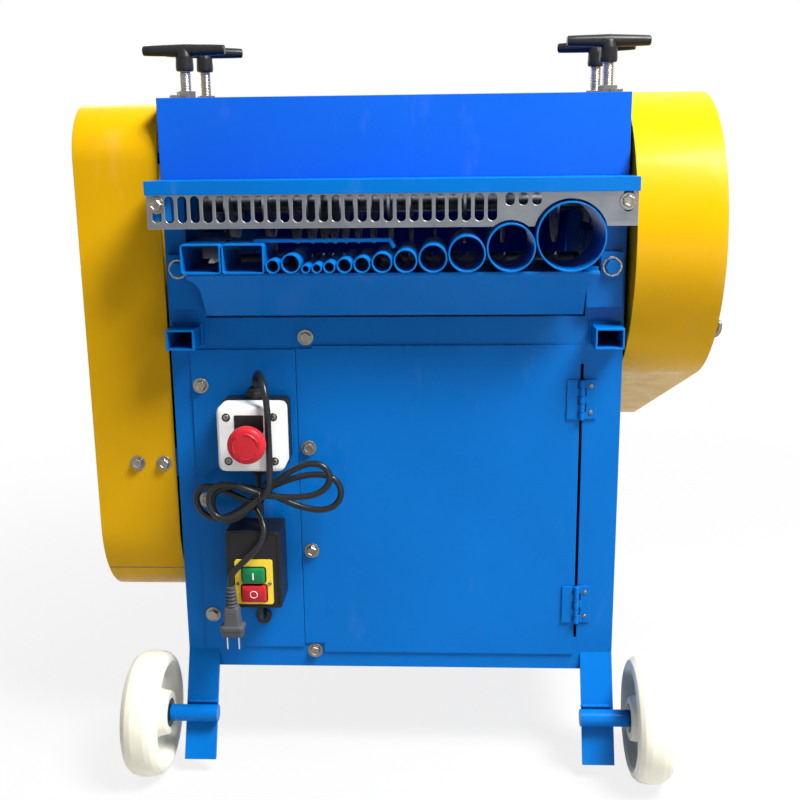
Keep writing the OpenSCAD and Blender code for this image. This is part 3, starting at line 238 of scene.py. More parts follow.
def grain(tree, where, scale, detail=3.0, rough=0.55, stretch=None):
    """Noise over the object's own coordinates, in metres."""
    if stretch:
        mapping = tree.nodes.new("ShaderNodeMapping")
        mapping.inputs["Scale"].default_value = stretch
        tree.links.new(where, mapping.inputs["Vector"])
        where = mapping.outputs["Vector"]
    n = tree.nodes.new("ShaderNodeTexNoise")
    n.inputs["Scale"].default_value = scale
    n.inputs["Detail"].default_value = detail
    n.inputs["Roughness"].default_value = rough
    tree.links.new(where, n.inputs["Vector"])
    return n.outputs["Fac"]


def ranged(tree, value, low, high, a=0.3, b=0.7):
    r = tree.nodes.new("ShaderNodeMapRange")
    r.inputs["From Min"].default_value = a
    r.inputs["From Max"].default_value = b
    r.inputs["To Min"].default_value = low
    r.inputs["To Max"].default_value = high
    tree.links.new(value, r.inputs["Value"])
    return r.outputs["Result"]


def mixed(tree, fac, a, b):
    mix = tree.nodes.new("ShaderNodeMix")
    mix.data_type = "RGBA"
    tree.links.new(fac, mix.inputs["Factor"])
    for socket, v in ((mix.inputs[6], a), (mix.inputs[7], b)):
        if isinstance(v, (tuple, list)):
            socket.default_value = (*v, 1)
        else:
            tree.links.new(v, socket)
    return mix.outputs[2]


def bumped(tree, height, strength, depth, normal=None):
    b = tree.nodes.new("ShaderNodeBump")
    b.inputs["Strength"].default_value = strength
    b.inputs["Distance"].default_value = depth
    tree.links.new(height, b.inputs["Height"])
    if normal:
        tree.links.new(normal, b.inputs["Normal"])
    return b.outputs["Normal"]


def edges(tree, radius):
    """Rounded normals, and a mask that is high along sharp edges."""
    bevel = tree.nodes.new("ShaderNodeBevel")
    bevel.samples = 4
    bevel.inputs["Radius"].default_value = radius
    geo = tree.nodes.new("ShaderNodeNewGeometry")
    dot = tree.nodes.new("ShaderNodeVectorMath")
    dot.operation = "DOT_PRODUCT"
    tree.links.new(bevel.outputs["Normal"], dot.inputs[0])
    tree.links.new(geo.outputs["Normal"], dot.inputs[1])
    return bevel.outputs["Normal"], ranged(tree, dot.outputs["Value"], 1.0, 0.0, 0.80, 0.995)


DUST = (0.75, 0.73, 0.70)
PAINT_ROUGH = (0.24, 0.40)
PAINT_BEVEL = 0.0012


def paint(name, colour, highlight_colour, edge=0.5):
    """Sprayed paint: slow colour drift, fine orange peel, a painted highlight in patches along sharp edges, a little
    rubbed dust.
    """
    m, tree, bsdf, where = shader(name)
    drift = ranged(tree, grain(tree, where, 5.0, 4.0), 0.0, 1.0)
    dark = tuple(0.86 * c for c in colour)
    col = mixed(tree, drift, dark, colour)
    smear = ranged(tree, grain(tree, where, 22.0, 6.0, 0.7, (1, 1, 0.35)), 0.0, 0.045, 0.60, 0.80)
    col = mixed(tree, smear, col, DUST)
    normal, rim = edges(tree, PAINT_BEVEL)
    # painted highlight: a lighter colour mixed in along sharp edges, broken into patches by noise
    edge_highlight_mask = tree.nodes.new("ShaderNodeMath")
    edge_highlight_mask.operation = "MULTIPLY"
    tree.links.new(rim, edge_highlight_mask.inputs[0])
    tree.links.new(ranged(tree, grain(tree, where, 70.0, 3.0), 0.25 * edge, edge), edge_highlight_mask.inputs[1])
    col = mixed(tree, edge_highlight_mask.outputs["Value"], col, highlight_colour)
    tree.links.new(col, bsdf.inputs["Base Color"])
    tree.links.new(ranged(tree, grain(tree, where, 35.0, 5.0), *PAINT_ROUGH), bsdf.inputs["Roughness"])
    peel = grain(tree, where, 420.0, 2.0)
    tree.links.new(bumped(tree, peel, 0.10, 0.0004, normal), bsdf.inputs["Normal"])
    bsdf.inputs["Specular IOR Level"].default_value = 0.06
    bsdf.inputs["Coat Weight"].default_value = 0.04
    bsdf.inputs["Coat Roughness"].default_value = 0.10
    return m


def metal(name, colour, rough, stretch, scale, tint=0.82, bump=0.12, bevel=0.0006, edge=None):
    """Bare or plated metal with brushed or turned streaks, dull patches and, if asked for, a painted highlight along
    sharp edges.
    """
    m, tree, bsdf, where = shader(name)
    streak = grain(tree, where, scale, 4.0, 0.6, stretch)
    patch = grain(tree, where, 45.0, 4.0, 0.6)
    col = mixed(tree, ranged(tree, patch, 0.0, 1.0), tuple(tint * c for c in colour), colour)
    normal, rim = edges(tree, bevel)
    # painted highlight: a lighter colour along sharp edges
    if edge:
        col = mixed(tree, rim, col, edge)
    tree.links.new(col, bsdf.inputs["Base Color"])
    bsdf.inputs["Metallic"].default_value = 1.0
    tree.links.new(ranged(tree, streak, *rough), bsdf.inputs["Roughness"])
    tree.links.new(bumped(tree, streak, bump, 0.0003, normal), bsdf.inputs["Normal"])
    return m


def moulded(name, colour, rough, scale=700.0, bump=0.15, drift=0.85, coat=0.0, sub=0.0, bevel=0.0005):
    """Moulded plastic or rubber with a fine grain."""
    m, tree, bsdf, where = shader(name)
    slow = ranged(tree, grain(tree, where, 30.0, 4.0), 0.0, 1.0)
    col = mixed(tree, slow, tuple(drift * c for c in colour), colour)
    tree.links.new(col, bsdf.inputs["Base Color"])
    fine = grain(tree, where, scale, 2.0)
    tree.links.new(ranged(tree, grain(tree, where, 60.0, 4.0), *rough), bsdf.inputs["Roughness"])
    normal, _ = edges(tree, bevel)
    tree.links.new(bumped(tree, fine, bump, 0.0002, normal), bsdf.inputs["Normal"])
    bsdf.inputs["Specular IOR Level"].default_value = 0.2
    bsdf.inputs["Coat Weight"].default_value = coat
    if sub:
        bsdf.inputs["Subsurface Weight"].default_value = sub
        bsdf.inputs["Subsurface Radius"].default_value = (0.006, 0.005, 0.003)
        bsdf.inputs["Subsurface Scale"].default_value = 1.0
    return m


# the third colour of each paint is the painted highlight along its edges
BLUE = paint("blue_paint", (0.0003, 0.140, 0.500), (0.02, 0.32, 0.76))
COVER_BLUE = paint("cover_paint", (0.0055, 0.108, 0.610), (0.05, 0.36, 0.88))
YELLOW = paint("yellow_paint", (0.64, 0.345, 0.0015), (0.88, 0.62, 0.08), edge=0.35)
# stainless and zinc get a painted highlight along their sharp edges
STAINLESS = metal("stainless", (0.20, 0.215, 0.235), (0.30, 0.48), (0.06, 1, 1), 300.0,
                  bevel=0.0008, edge=(0.62, 0.64, 0.66))
ZINC = metal("zinc", (0.27, 0.25, 0.215), (0.20, 0.42), (1, 1, 1), 320.0, 0.60, edge=(0.56, 0.54, 0.49))
STEEL = metal("bright_steel", (0.55, 0.55, 0.56), (0.24, 0.42), (1, 0.1, 0.1), 260.0)
IRON = metal("cast_iron", (0.16, 0.16, 0.17), (0.42, 0.62), (1, 1, 1), 500.0, 0.7, 0.3)
PIN_METAL = metal("pin_metal", (0.74, 0.72, 0.66), (0.20, 0.34), (1, 1, 0.1), 300.0)
BLACK = moulded("black_plastic", (0.014, 0.014, 0.016), (0.30, 0.46))
RUBBER = moulded("black_rubber", (0.010, 0.011, 0.013), (0.26, 0.38), 500.0, 0.06, coat=0.15)
PLUG_GREY = moulded("plug_rubber", (0.072, 0.076, 0.082), (0.45, 0.60), 500.0, 0.12)
WHITE = moulded("white_plastic", (0.78, 0.78, 0.78), (0.34, 0.48), 600.0, 0.08, 0.95)
RED = moulded("red_plastic", (0.50, 0.016, 0.025), (0.30, 0.44), 500.0, 0.08)
GREEN = moulded("green_plastic", (0.004, 0.200, 0.062), (0.28, 0.42), 500.0, 0.08)
FACE_YELLOW = moulded("yellow_plastic", (0.86, 0.62, 0.035), (0.16, 0.28), 400.0, 0.05, 0.93, 0.3)
NYLON = moulded("cream_nylon", (0.80, 0.77, 0.64), (0.36, 0.52), 220.0, 0.20, 0.94, 0.0, 0.15, 0.0012)
GRIP = moulded("grip_black", (0.012, 0.012, 0.013), (0.26, 0.42), 260.0, 0.20)
INK = moulded("sign_white", (0.82, 0.82, 0.80), (0.40, 0.55), 500.0, 0.05, 0.97)

by_slot = {"blue_paint": BLUE, "yellow_paint": YELLOW, "zinc": ZINC, "bright_steel": STEEL, "stainless": STAINLESS,
           "cast_iron": IRON, "black_plastic": BLACK, "black_rubber": RUBBER, "white_plastic": WHITE,
           "red_plastic": RED, "green_plastic": GREEN, "yellow_plastic": FACE_YELLOW, "brass": PIN_METAL,
           "cream_nylon": NYLON, "handle_black": GRIP}
for sub in record["subparts"]:
    node = frame["nodes"][sub["node"]]
    node.data.materials.clear()
    node.data.materials.append(by_slot[sub["material_slot"]])
for name in ("top_cover", "rear_hood"):
    frame["nodes"][name].data.materials[0] = COVER_BLUE


# Stage and light

WORLD_LEVEL = 0.12  # of the white that the camera sees, as light on the part
FLOOR_HALF = 6
NEAR_WHITE, NEAR_R, FAR_R = 0.84, 0.45, 1.5  # the floor fades to white between these distances


def seen_rays(tree):
    """1 for camera, glossy and transmission rays, and 0 for the rest."""
    path = tree.nodes.new("ShaderNodeLightPath")
    value = path.outputs["Is Camera Ray"]
    for name in ("Is Glossy Ray", "Is Transmission Ray"):
        most = tree.nodes.new("ShaderNodeMath")
        most.operation = "MAXIMUM"
        tree.links.new(value, most.inputs[0])
        tree.links.new(path.outputs[name], most.inputs[1])
        value = most.outputs["Value"]
    return value


def soft_box(name, pos, target, size, watts):
    data = bpy.data.lights.new(name, "AREA")
    data.shape = "RECTANGLE"
    data.size, data.size_y = size
    data.energy = watts
    lamp = bpy.data.objects.new(name, data)
    lamp.location = pos
    lamp.rotation_euler = (Vector(target) - Vector(pos)).to_track_quat("-Z", "Y").to_euler()
    bpy.context.scene.collection.objects.link(lamp)


def light_stage():
    scene = bpy.context.scene
    scene.view_settings.view_transform = "Standard"
    world = bpy.data.worlds.new("world")
    scene.world = world
    world.use_nodes = True
    t = world.node_tree
    back = t.nodes["Background"]
    t.links.new(ranged(t, seen_rays(t), WORLD_LEVEL, 1.0, 0.0, 1.0), back.inputs["Strength"])
    back.inputs["Color"].default_value = (1, 1, 1, 1)

    mesh = bpy.data.meshes.new("floor")
    bm = bmesh.new()
    bmesh.ops.create_grid(bm, x_segments=2, y_segments=2, size=FLOOR_HALF)
    bm.to_mesh(mesh)
    bm.free()
    floor = bpy.data.objects.new("floor", mesh)
    scene.collection.objects.link(floor)
    m, tree, bsdf, where = shader("floor_pale")
    pale = mixed(tree, grain(tree, where, 3.0), (0.52, 0.52, 0.52), (0.55, 0.55, 0.548))
    tree.links.new(pale, bsdf.inputs["Base Color"])
    bsdf.inputs["Roughness"].default_value = 0.7
    far = tree.nodes.new("ShaderNodeVectorMath")
    far.operation = "LENGTH"
    tree.links.new(where, far.inputs[0])
    share = tree.nodes.new("ShaderNodeMath")
    share.operation = "MULTIPLY"
    tree.links.new(seen_rays(tree), share.inputs[0])
    tree.links.new(ranged(tree, far.outputs["Value"], NEAR_WHITE, 1.0, NEAR_R, FAR_R), share.inputs[1])
    glow = tree.nodes.new("ShaderNodeEmission")
    glow.inputs["Strength"].default_value = 1.0
    mix = tree.nodes.new("ShaderNodeMixShader")
    tree.links.new(share.outputs["Value"], mix.inputs["Fac"])
    tree.links.new(bsdf.outputs["BSDF"], mix.inputs[1])
    tree.links.new(glow.outputs["Emission"], mix.inputs[2])
    tree.links.new(mix.outputs["Shader"], tree.nodes["Material Output"].inputs["Surface"])
    mesh.materials.append(m)

    soft_box("key", (1.15, -1.0, 2.4), (0.1, -0.2, 0.45), (0.9, 0.9), 150)
    soft_box("back", (-1.2, 1.7, 1.7), (0, 0.2, 0.4), (1.3, 1.3), 28)
    soft_box("fill", (0.9, -2.3, 0.35), (0, 0, 0.2), (1.2, 0.6), 5)


light_stage()

# Cord, tie and plug, along the route of the solids

STOP_X, STOP_Z, STOP_W = -151.4, 400.0, 72.0
GLAND_Y, GLAND_H = -14.0, 12.0
WAIST = Vector((-142, -64, 338))
PASS = Vector((0, 8.4, 0))
HANK_END = Vector((-156, -37, 322))
REACH = [Vector(v) for v in ((-56, -3, -7), (74, -4, 25), (-56, -3, -19), (84, 3, -5), (-70, 5, -12))]
WIDTH = (38, 35, 38, 41, 48)
PLUG_TOP = Vector((-179, -60, 236))
CORD_D = 7.0
CORD_STEPS = 4  # samples to a span of the curve


def hank_line(rings=24):
    """The loops of the hank, each from one pass of the waist to the next, smoothed where they join."""
    points = []
    for k, (reach, width) in enumerate(zip(REACH, WIDTH)):
        a = WAIST + k * PASS
        b = WAIST + (k + 1) * PASS if k + 1 < len(REACH) else HANK_END
        below = math.copysign(1, reach.x) * Vector((reach.z, 0, -reach.x)).normalized()
        for i in range(rings):
            t = i / rings
            points.append(a.lerp(b, t) + math.sin(math.pi * t) * reach
                          + math.sin(2 * math.pi * t) * width / 2 * below)
    points.append(HANK_END.copy())
    for _ in range(3):
        inner = [(p + 2 * q + r) / 4 for p, q, r in zip(points, points[1:], points[2:])]
        points = [points[0]] + inner + [points[-1]]
    return points


def make_cord():
    """One curve from the gland through the hank to the plug, with its start and its measured length."""
    lead = [(STOP_X, GLAND_Y, STOP_Z + STOP_W / 2 + GLAND_H), (-151.3, -14.7, 453), (-150.2, -17.6, 459),
            (-147.6, -23.6, 464.2), (-143.8, -32.5, 466.6), (-140, -42, 465.2), (-136.6, -50.5, 460.2),
            (-133.8, -57, 452), (-132, -60.6, 442), (-131, -62, 430), (-131, -61.5, 415), (-131, -61, 400),
            (-131, -61, 380), (-131, -61.8, 367), (-131.2, -63.2, 356), (-132.6, -64, 348.6), (-136.4, -64, 342.4)]
    tail = [(-151, -39.4, 315.5), (-147, -42.2, 309.6), (-144, -45.6, 304.4), (-142.2, -49.4, 299), (-142, -53, 293),
            (-145, -57, 284), (-151, -59, 277), (-158.5, -60, 269.5), (-166, -60, 262), (-172, -60, 256),
            (-176.5, -60, 250.5), (-179, -60, 243.5)]
    line = [Vector(p) for p in lead] + hank_line() + [Vector(p) for p in tail] + [PLUG_TOP.copy()]
    data = bpy.data.curves.new("power_cord", "CURVE")
    data.dimensions = "3D"
    data.bevel_depth = CORD_D / 2000
    data.bevel_resolution = 5
    data.resolution_u = CORD_STEPS
    data.use_fill_caps = True
    spline = data.splines.new("BEZIER")
    spline.bezier_points.add(len(line) - 1)
    world = [at(*p) for p in line]
    last = len(world) - 1
    for i, (bp, p) in enumerate(zip(spline.bezier_points, world)):
        before, after = world[max(i - 1, 0)], world[min(i + 1, last)]
        along = (after - before).normalized()
        bp.handle_left_type = bp.handle_right_type = "FREE"
        bp.co = p
        bp.handle_left = p - along * (p - before).length / 3
        bp.handle_right = p + along * (after - p).length / 3
    data.materials.append(RUBBER)
    cord = bpy.data.objects.new("power_cord", data)
    bpy.context.scene.collection.objects.link(cord)
    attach(cord, "machine")
    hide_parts("cord_lead", "cord_hank", "cord_tail")
    samples = []
    for i in range(last):
        a, b = spline.bezier_points[i], spline.bezier_points[i + 1]
        for s in range(CORD_STEPS):
            t = s / CORD_STEPS
            samples.append((1 - t) ** 3 * a.co + 3 * t * (1 - t) ** 2 * a.handle_right
                           + 3 * t * t * (1 - t) * b.handle_left + t ** 3 * b.co)
    samples.append(world[-1])
    length = sum((b - a).length for a, b in zip(samples, samples[1:]))
    return cord, world[0], length


RELIEF_H, WAIST_H, FLANGE_H = 23.0, 23.0, 12.0
PIN_HALF = 6.35  # half the distance between the blades


def make_plug():
    """Ribbed strain relief, a slim body with grip lines, and a wide flange over the two blades."""
    ribs = [(0, 0), (3.9, 0), (4.7, -0.4), (4.7, -2.6)]
    for i in range(5):
        z = -RELIEF_H + (4 - i) * 4.0 + 2.0
        r = 6.8 - 0.25 * (4 - i)
        ribs += [(r - 1.9, z + 0.25), (r - 0.4, z + 0.1), (r, z - 0.4),
                 (r, z - 1.4), (r - 0.4, z - 1.9), (r - 1.9, z - 2.05)]
    ribs += [(5.2, -RELIEF_H + 0.2), (0, -RELIEF_H + 0.1)]
    flange = -RELIEF_H - WAIST_H
    low = flange - FLANGE_H
    steps = [(-RELIEF_H, 12.4, 10.6, 4.5), (-RELIEF_H - 1.2, 15.4, 12.2, 4), (-RELIEF_H - 4, 16.8, 13.2, 3.5),
             (-RELIEF_H - 12, 17.4, 13.6, 3.2), (flange + 3, 18.4, 14, 3.2), (flange + 1.2, 19.6, 14.6, 3.4),
             (flange + 0.2, 25.4, 17, 4.6), (flange - 0.6, 26.8, 17.9, 5), (flange - 3.4, 27, 18, 5.2),
             (flange - 4.6, 26.2, 17.2, 4.8), (flange - 5.2, 24.4, 15.6, 4.2), (low + 1, 23.6, 15, 4),
             (low, 22.4, 13.8, 3.6)]
    body = loft([(rect(w, d, r), z) for z, w, d, r in steps[::-1]])
    grips = []
    for s in (-1, 1):
        for k in range(4):
            line = loft([(rect(9.5, 0.9, 0.4), -0.1), (rect(9.1, 0.5, 0.24), 0.45)])
            spot = Matrix.Translation((0, s * 6.72, -RELIEF_H - 7 - 3.2 * k))
            grips.append((line, spot @ Matrix.Rotation(math.radians(90 * s), 4, "X")))
    whole = joined(lathe(ribs, 40), body, *grips)
    bmesh.ops.transform(whole, matrix=place(*PLUG_TOP), verts=whole.verts)
    plug = piece("plug_moulding", whole, PLUG_GREY, "machine", ("plug_body",))
    pins = []
    for s in (-1, 1):
        blade = loft([(rect(1.0, 4.6, 0.4), low - 16), (rect(1.5, 5.6, 0.5), low - 15.2),
                      (rect(1.5, 6.5, 0.5), low - 13.6), (rect(1.5, 6.5, 0.5), low)])
        pins.append((blade, Matrix.Translation((s * PIN_HALF, 0, 0))))
    pins = joined(*pins)
    bmesh.ops.transform(pins, matrix=place(*PLUG_TOP), verts=pins.verts)
    return plug, piece("plug_pins", pins, PIN_METAL, "machine", ("plug_blades",))


def make_tie():
    """A flat band round the waist of the hank."""
    y0, y1 = WAIST.y - CORD_D / 2 - 1.6, WAIST.y + 4 * PASS.y + CORD_D / 2 + 1.6
    mid, half = (y0 + y1) / 2, (y1 - y0) / 2
    path = rect(2 * half, 14.4, 4.4, 5)
    route = [(WAIST.x + 0.25 * math.sin(6 * i / len(path)), mid + y, WAIST.z + z) for i, (y, z) in enumerate(path)]
    band = sweep(route, [(-0.6, -1.4), (0.6, -1.4), (0.6, 1.4), (-0.6, 1.4)], closed=True)
    bmesh.ops.transform(band, matrix=place(0, 0, 0), verts=band.verts)
    return piece("cord_band", band, BLACK, "machine", ("cord_tie",))


cord, cord_exit, cord_length = make_cord()
plug, pins = make_plug()
tie = make_tie()

# Fasteners

PANEL_FACE = -2  # front of the switch panel, the door and the hinge leaves
BOLT_R = 4.0
LUG_X, LUG_Y, LUG_Z = 229, -12, 576
HINGE_SCREW_X, HINGE_H, HINGE_ZS = 212.45, 44, (431, 192)
LATCH_X = -97


def hexagon(r, turn):
    return [(r * math.cos(math.radians(turn + 60 * k)), r * math.sin(math.radians(turn + 60 * k))) for k in range(6)]


def hex_bolt(r, shank, turn):
    """Washer, chamfered hex head with a shallow dish, and shank; local +Z is outwards."""
    washer = lathe([(0, 0), (2.11 * r, 0), (2.15 * r, 0.05 * r), (2.15 * r, 0.24 * r),
                    (2.07 * r, 0.3 * r), (0, 0.3 * r)], 40)
    steps = ((1.58, 0.3), (1.58, 1.22), (1.38, 1.4), (0.98, 1.4), (0.82, 1.26))
    head = loft([(hexagon(wide * r, turn), high * r) for wide, high in steps])
    rod = lathe([(0, 0), (0.98 * r, 0), (0.98 * r, -shank + 0.2 * r), (0.8 * r, -shank), (0, -shank)], 24)
    return joined(washer, head, rod)


def cross_screw(r, h):
    """Pan head with a cross recess, and apart from it a cross over the recess that is drawn dark as painted shade;
    local +Z is outwards.
    """
    head = lathe([(0, 0), (r, 0), (r, 0.25 * h), (0.86 * r, 0.72 * h), (0.55 * r, 0.97 * h),
                  (0.32 * r, h), (0.30 * r, 0.4 * h), (0, 0.3 * h)], 28)
    arm = rect(0.95 * r, 0.2 * r, 0.05 * r, 2)
    arms = [(loft([(arm, 0.85 * h), (arm, 1.02 * h)]), Matrix.Rotation(math.radians(a), 4, "Z")) for a in (25, 115)]
    return head, joined(*arms)


def fasteners():
    """Bolts of the panel, the door's notches, the guide plate, the left guard and the door; screws; lug washers."""
    bolts, cross = [], []
    # x, y, z, length of the shank and turn of the head
    spots = [(-214, PANEL_FACE, z, 2, 12 * i) for i, z in enumerate((447, 315, 176))]
    spots += [(LATCH_X, 0, 500, 4, 20), (LATCH_X, 0, 131, 4, 47)]
    spots += [(-236, -56.9, 645, 6, 8), (236, -56.9, 645, 6, 33)]
    spots += [(-262, 5, 356, 2, 15), (-292, 5, 356, 2, 40)]
    for x, y, z, shank, turn in spots:
        bolts.append((hex_bolt(BOLT_R, shank, turn), place(x, y, z, FACING)))
    for z in HINGE_ZS:
        for s in (-1, 1):
            head, arms = cross_screw(2.4, 1.2)
            m = place(HINGE_SCREW_X, PANEL_FACE, z + s * HINGE_H / 3, FACING)
            bolts.append((head, m))
            cross.append((arms, m.copy()))
    piece("frame_fasteners", joined(*bolts), ZINC, "machine", ("frame_bolts",))
    # painted shade: the dark crosses on the hinge screws stand for the shade in their recesses
    piece("hinge_screw_recess_shades", joined(*cross), IRON, "machine")
    rings = []
    for s in (-1, 1):
        ring = lathe(rounded([(8.1, 1.6, 0), (8.3, 1.95, 0.1), (10.1, 1.95, 0.2), (10.4, 1.6, 0)]), 60)
        for v in ring.verts:  # a chipped edge
            v.co.xy *= 1 + 0.09 * noise.noise(Vector((0.55 * v.co.x, 0.55 * v.co.y, 3.0 * s)))
        rings.append((ring, place(s * LUG_X, LUG_Y, LUG_Z, FACING)))
    piece("lug_washers", joined(*rings), ZINC, "machine")
    door = [(hex_bolt(BOLT_R, 6, t), place(LATCH_X, PANEL_FACE, z, FACING)) for z, t in ((376, 5), (255, 32))]
    piece("door_fasteners", joined(*door), ZINC, "front_door", ("door_bolts",))


fasteners()


# Stop button

COVER_BACK, COVER_FACE, HEAD_BACK = -26, -55, -63
STOP_HOLE_R = 11.3
ARROW_R = 13.4


def stop_button():
    """Black base, white cover with its screws and plate, red head with raised arrows, and two glands."""
    base = pad(STOP_W, STOP_W, 0, 24, 6, 0.8)
    lip = sweep([(x, y, 23.4) for x, y in rect(72.6, 72.6, 6.4)], round_bar(0.5, 6), closed=True)
    back = place(STOP_X, PANEL_FACE, STOP_Z, FACING)
    body = joined((base, back), (lip, back))
    piece("stop_base_shell", body, BLACK, "machine", ("estop_base",))

    front = place(STOP_X, COVER_BACK, STOP_Z, FACING)
    outer = [(0, 0.0), (0, 24.6), (0.35, 26.2), (1.2, 27.7), (2.4, 28.6), (3.9, 29.0)]
    rings = [(rect(STOP_W - 2 * e, STOP_W - 2 * e, 9 - 0.6 * e, 6), z) for e, z in outer]
    angles = [math.atan2(y, x) for x, y in rings[-1][0]]
    hole = [(STOP_HOLE_R * math.cos(a), STOP_HOLE_R * math.sin(a)) for a in angles]
    rings += [(hole, 29.0), (hole, 6.0)]
    shell = loft(rings, caps=False)
    piece("stop_cover_shell", joined((shell, front)), WHITE, "machine", ("estop_cover",))

    well_shades, heads, recess_shades = [], [], []
    for x, z in ((-25, 24), (25, 24.5), (-24.5, -24), (25, -24)):
        m = place(STOP_X + x, COVER_FACE, STOP_Z + z, FACING)
        well_shades.append((lathe([(3.1, 0.02), (3.3, 0.22), (4.3, 0.22), (4.5, 0.02)], 32), m))
        head, arms = cross_screw(3.1, 0.7)
        heads.append((head, m.copy()))
        recess_shades.append((arms, m.copy()))
    # painted shade: a flat black ring round each screw stands for the shade in its well
    piece("stop_screw_well_shades", joined(*well_shades), BLACK, "machine")
    piece("stop_screws", joined(*heads), ZINC, "machine")
    # painted shade: black crosses stand for the shade in the screw recesses
    piece("stop_screw_recess_shades", joined(*recess_shades), BLACK, "machine")
    plate = (pad(31, 19, 0, 0.5, 1.2, 0.15), place(STOP_X - 1, COVER_FACE, STOP_Z + 17, FACING))
    piece("stop_bare_plate", joined(plate), BLACK, "machine")

    cap = lathe([(11.12, 0.0), (14.3, 0), (14.5, 0.3), (14.5, 6.6), (15.2, 7.3), (17.6, 7.7), (19.2, 8.6),
                 (19.9, 10.4), (20.0, 12.4), (20.0, 15.6), (19.6, 17.6), (18.6, 19.2), (17.0, 20.3),
                 (14.8, 20.9), (12.0, 21.2), (7, 21.45), (0, 21.5)], 96)
    arrows = []
    for k in range(3):
        start = math.radians(20 + 120 * k)
        arc = [(ARROW_R * math.cos(start + a), ARROW_R * math.sin(start + a), 21.05)
               for a in (math.radians(d) for d in range(0, 71, 7))]
        arrows.append(sweep(arc, [(-0.5, -0.9), (0.5, -0.9), (0.5, 0.9), (-0.5, 0.9)]))
        tip = start - math.radians(2)
        along = Vector((math.sin(tip), -math.cos(tip), 0))
        out = Vector((math.cos(tip), math.sin(tip), 0))
        at_tip = ARROW_R * out
        tri = [at_tip + 5.2 * along, at_tip + 2.9 * out, at_tip - 2.9 * out]
        arrows.append(loft([([(p.x, p.y) for p in tri], 20.6), ([(p.x, p.y) for p in tri], 21.5)]))
    head = joined(cap, *arrows)
    bmesh.ops.transform(head, matrix=place(STOP_X, HEAD_BACK, STOP_Z, FACING), verts=head.verts)
    piece("stop_mushroom", head, RED, "stop_head", ("estop_head",))

    def gland(h):
        steps = ((10.4, 0), (11, 0.7), (11, 0.55 * h), (10, 0.62 * h))
        nut = loft([(hexagon(r, 30), z) for r, z in steps])
        dome = lathe([(8.5, 0.5 * h), (8.5, 0.80 * h), (7.9, 0.93 * h), (6.6, h), (4.2, h), (3.9, 0.95 * h)], 40)
        return joined(nut, dome)
    down = Matrix.Rotation(math.pi, 4, "X")
    glands = joined((gland(GLAND_H), place(STOP_X, GLAND_Y, STOP_Z + STOP_W / 2)),
                    (gland(15), place(STOP_X, GLAND_Y, STOP_Z - STOP_W / 2, down)))
    piece("stop_gland_nuts", glands, BLACK, "machine", ("estop_glands",))


stop_button()


# Start switch

SWITCH_X, SWITCH_FACE, PLATE_T = -156.0, -45.0, 2
KEY_BACK = -40
START_KEY, STOP_KEY = (25, 17, 243.5), (27, 19.5, 222.25)  # width, height and Z of the middle


def start_switch():
    """Rim, lamp, bezels and screws on the box, and the two keys with their plain signs."""
    rim = sweep([(x, y, 0) for x, y in rect(55, 85, 5)], round_bar(0.9, 8), closed=True)
    dot = lathe([(0, 0.5), (1.3, 0.45), (1.7, 0.1), (1.7, -0.2)], 20)
    trim = joined((rim, place(SWITCH_X, SWITCH_FACE, 249, FACING)),
                  (dot, place(SWITCH_X + 2, SWITCH_FACE, 283, FACING)))
    piece("switch_rim", trim, BLACK, "machine")
    bezels, heads, recess_shades = [], [], []
    for w, h, z in (START_KEY, STOP_KEY):
        ring = sweep([(x, y, 0.1) for x, y in rect(w + 1.9, h + 1.5, 3.4)],
                     [(-0.35, -0.45), (0.35, -0.45), (0.35, 0.45), (-0.35, 0.45)], closed=True)
        bezels.append((ring, place(SWITCH_X, SWITCH_FACE - PLATE_T, z, FACING)))
    piece("switch_bezels", joined(*bezels), BLACK, "machine")
    for x in (-17.6, 17.6):
        head, arms = cross_screw(2.2, 1.1)
        m = place(SWITCH_X + x, SWITCH_FACE - PLATE_T, 233.6, FACING)
        heads.append((head, m))
        recess_shades.append((arms, m.copy()))
    piece("switch_screws", joined(*heads), ZINC, "machine")
    # painted shade: black crosses stand for the shade in the screw recesses
    piece("switch_screw_recess_shades", joined(*recess_shades), BLACK, "machine")

    def cap(name, w, h, z, material, body, slot, node):
        steps = ((0, 3, 0), (0, 3, 8.4), (0.5, 3, 10.4), (1.6, 2.6, 11.5), (3.2, 2.2, 11.9))
        bm = loft([(rect(w - cut, h - cut, r), up) for cut, r, up in steps])
        bmesh.ops.transform(bm, matrix=place(SWITCH_X, KEY_BACK, z, FACING), verts=bm.verts)
        piece(name, bm, material, body, (node,))
    cap("start_cap", *START_KEY, GREEN, "start_key", "green_plastic", "button_start")
    cap("stop_cap", *STOP_KEY, RED, "stop_key", "red_plastic", "button_stop")
    bar = loft([(rect(1.5, 8.0, 0.5, 3), 11.5), (rect(1.5, 8.0, 0.5, 3), 12.0)])
    bar_at = place(SWITCH_X, KEY_BACK, START_KEY[2], FACING)
    piece("start_sign", joined((bar, bar_at)), INK, "start_key")
    ring = sweep([(x, y, 11.75) for x, y in round_bar(4.1, 40)],
                 [(-0.25, -0.6), (0.25, -0.6), (0.25, 0.6), (-0.25, 0.6)], closed=True)
    ring_at = place(SWITCH_X, KEY_BACK, STOP_KEY[2], FACING)
    piece("stop_sign", joined((ring, ring_at)), INK, "stop_key")


start_switch()


# T-handles on their threaded studs

SCREW_X, SCREW_Y, SCREW_STEP = 229.7, 120, 50
BAR_Z, HUB_Z = 805, 783
STUD_Z, THREAD_Z, STUD_TOP, THREAD_TOP = 663.4, 701, 783.2, 782.6


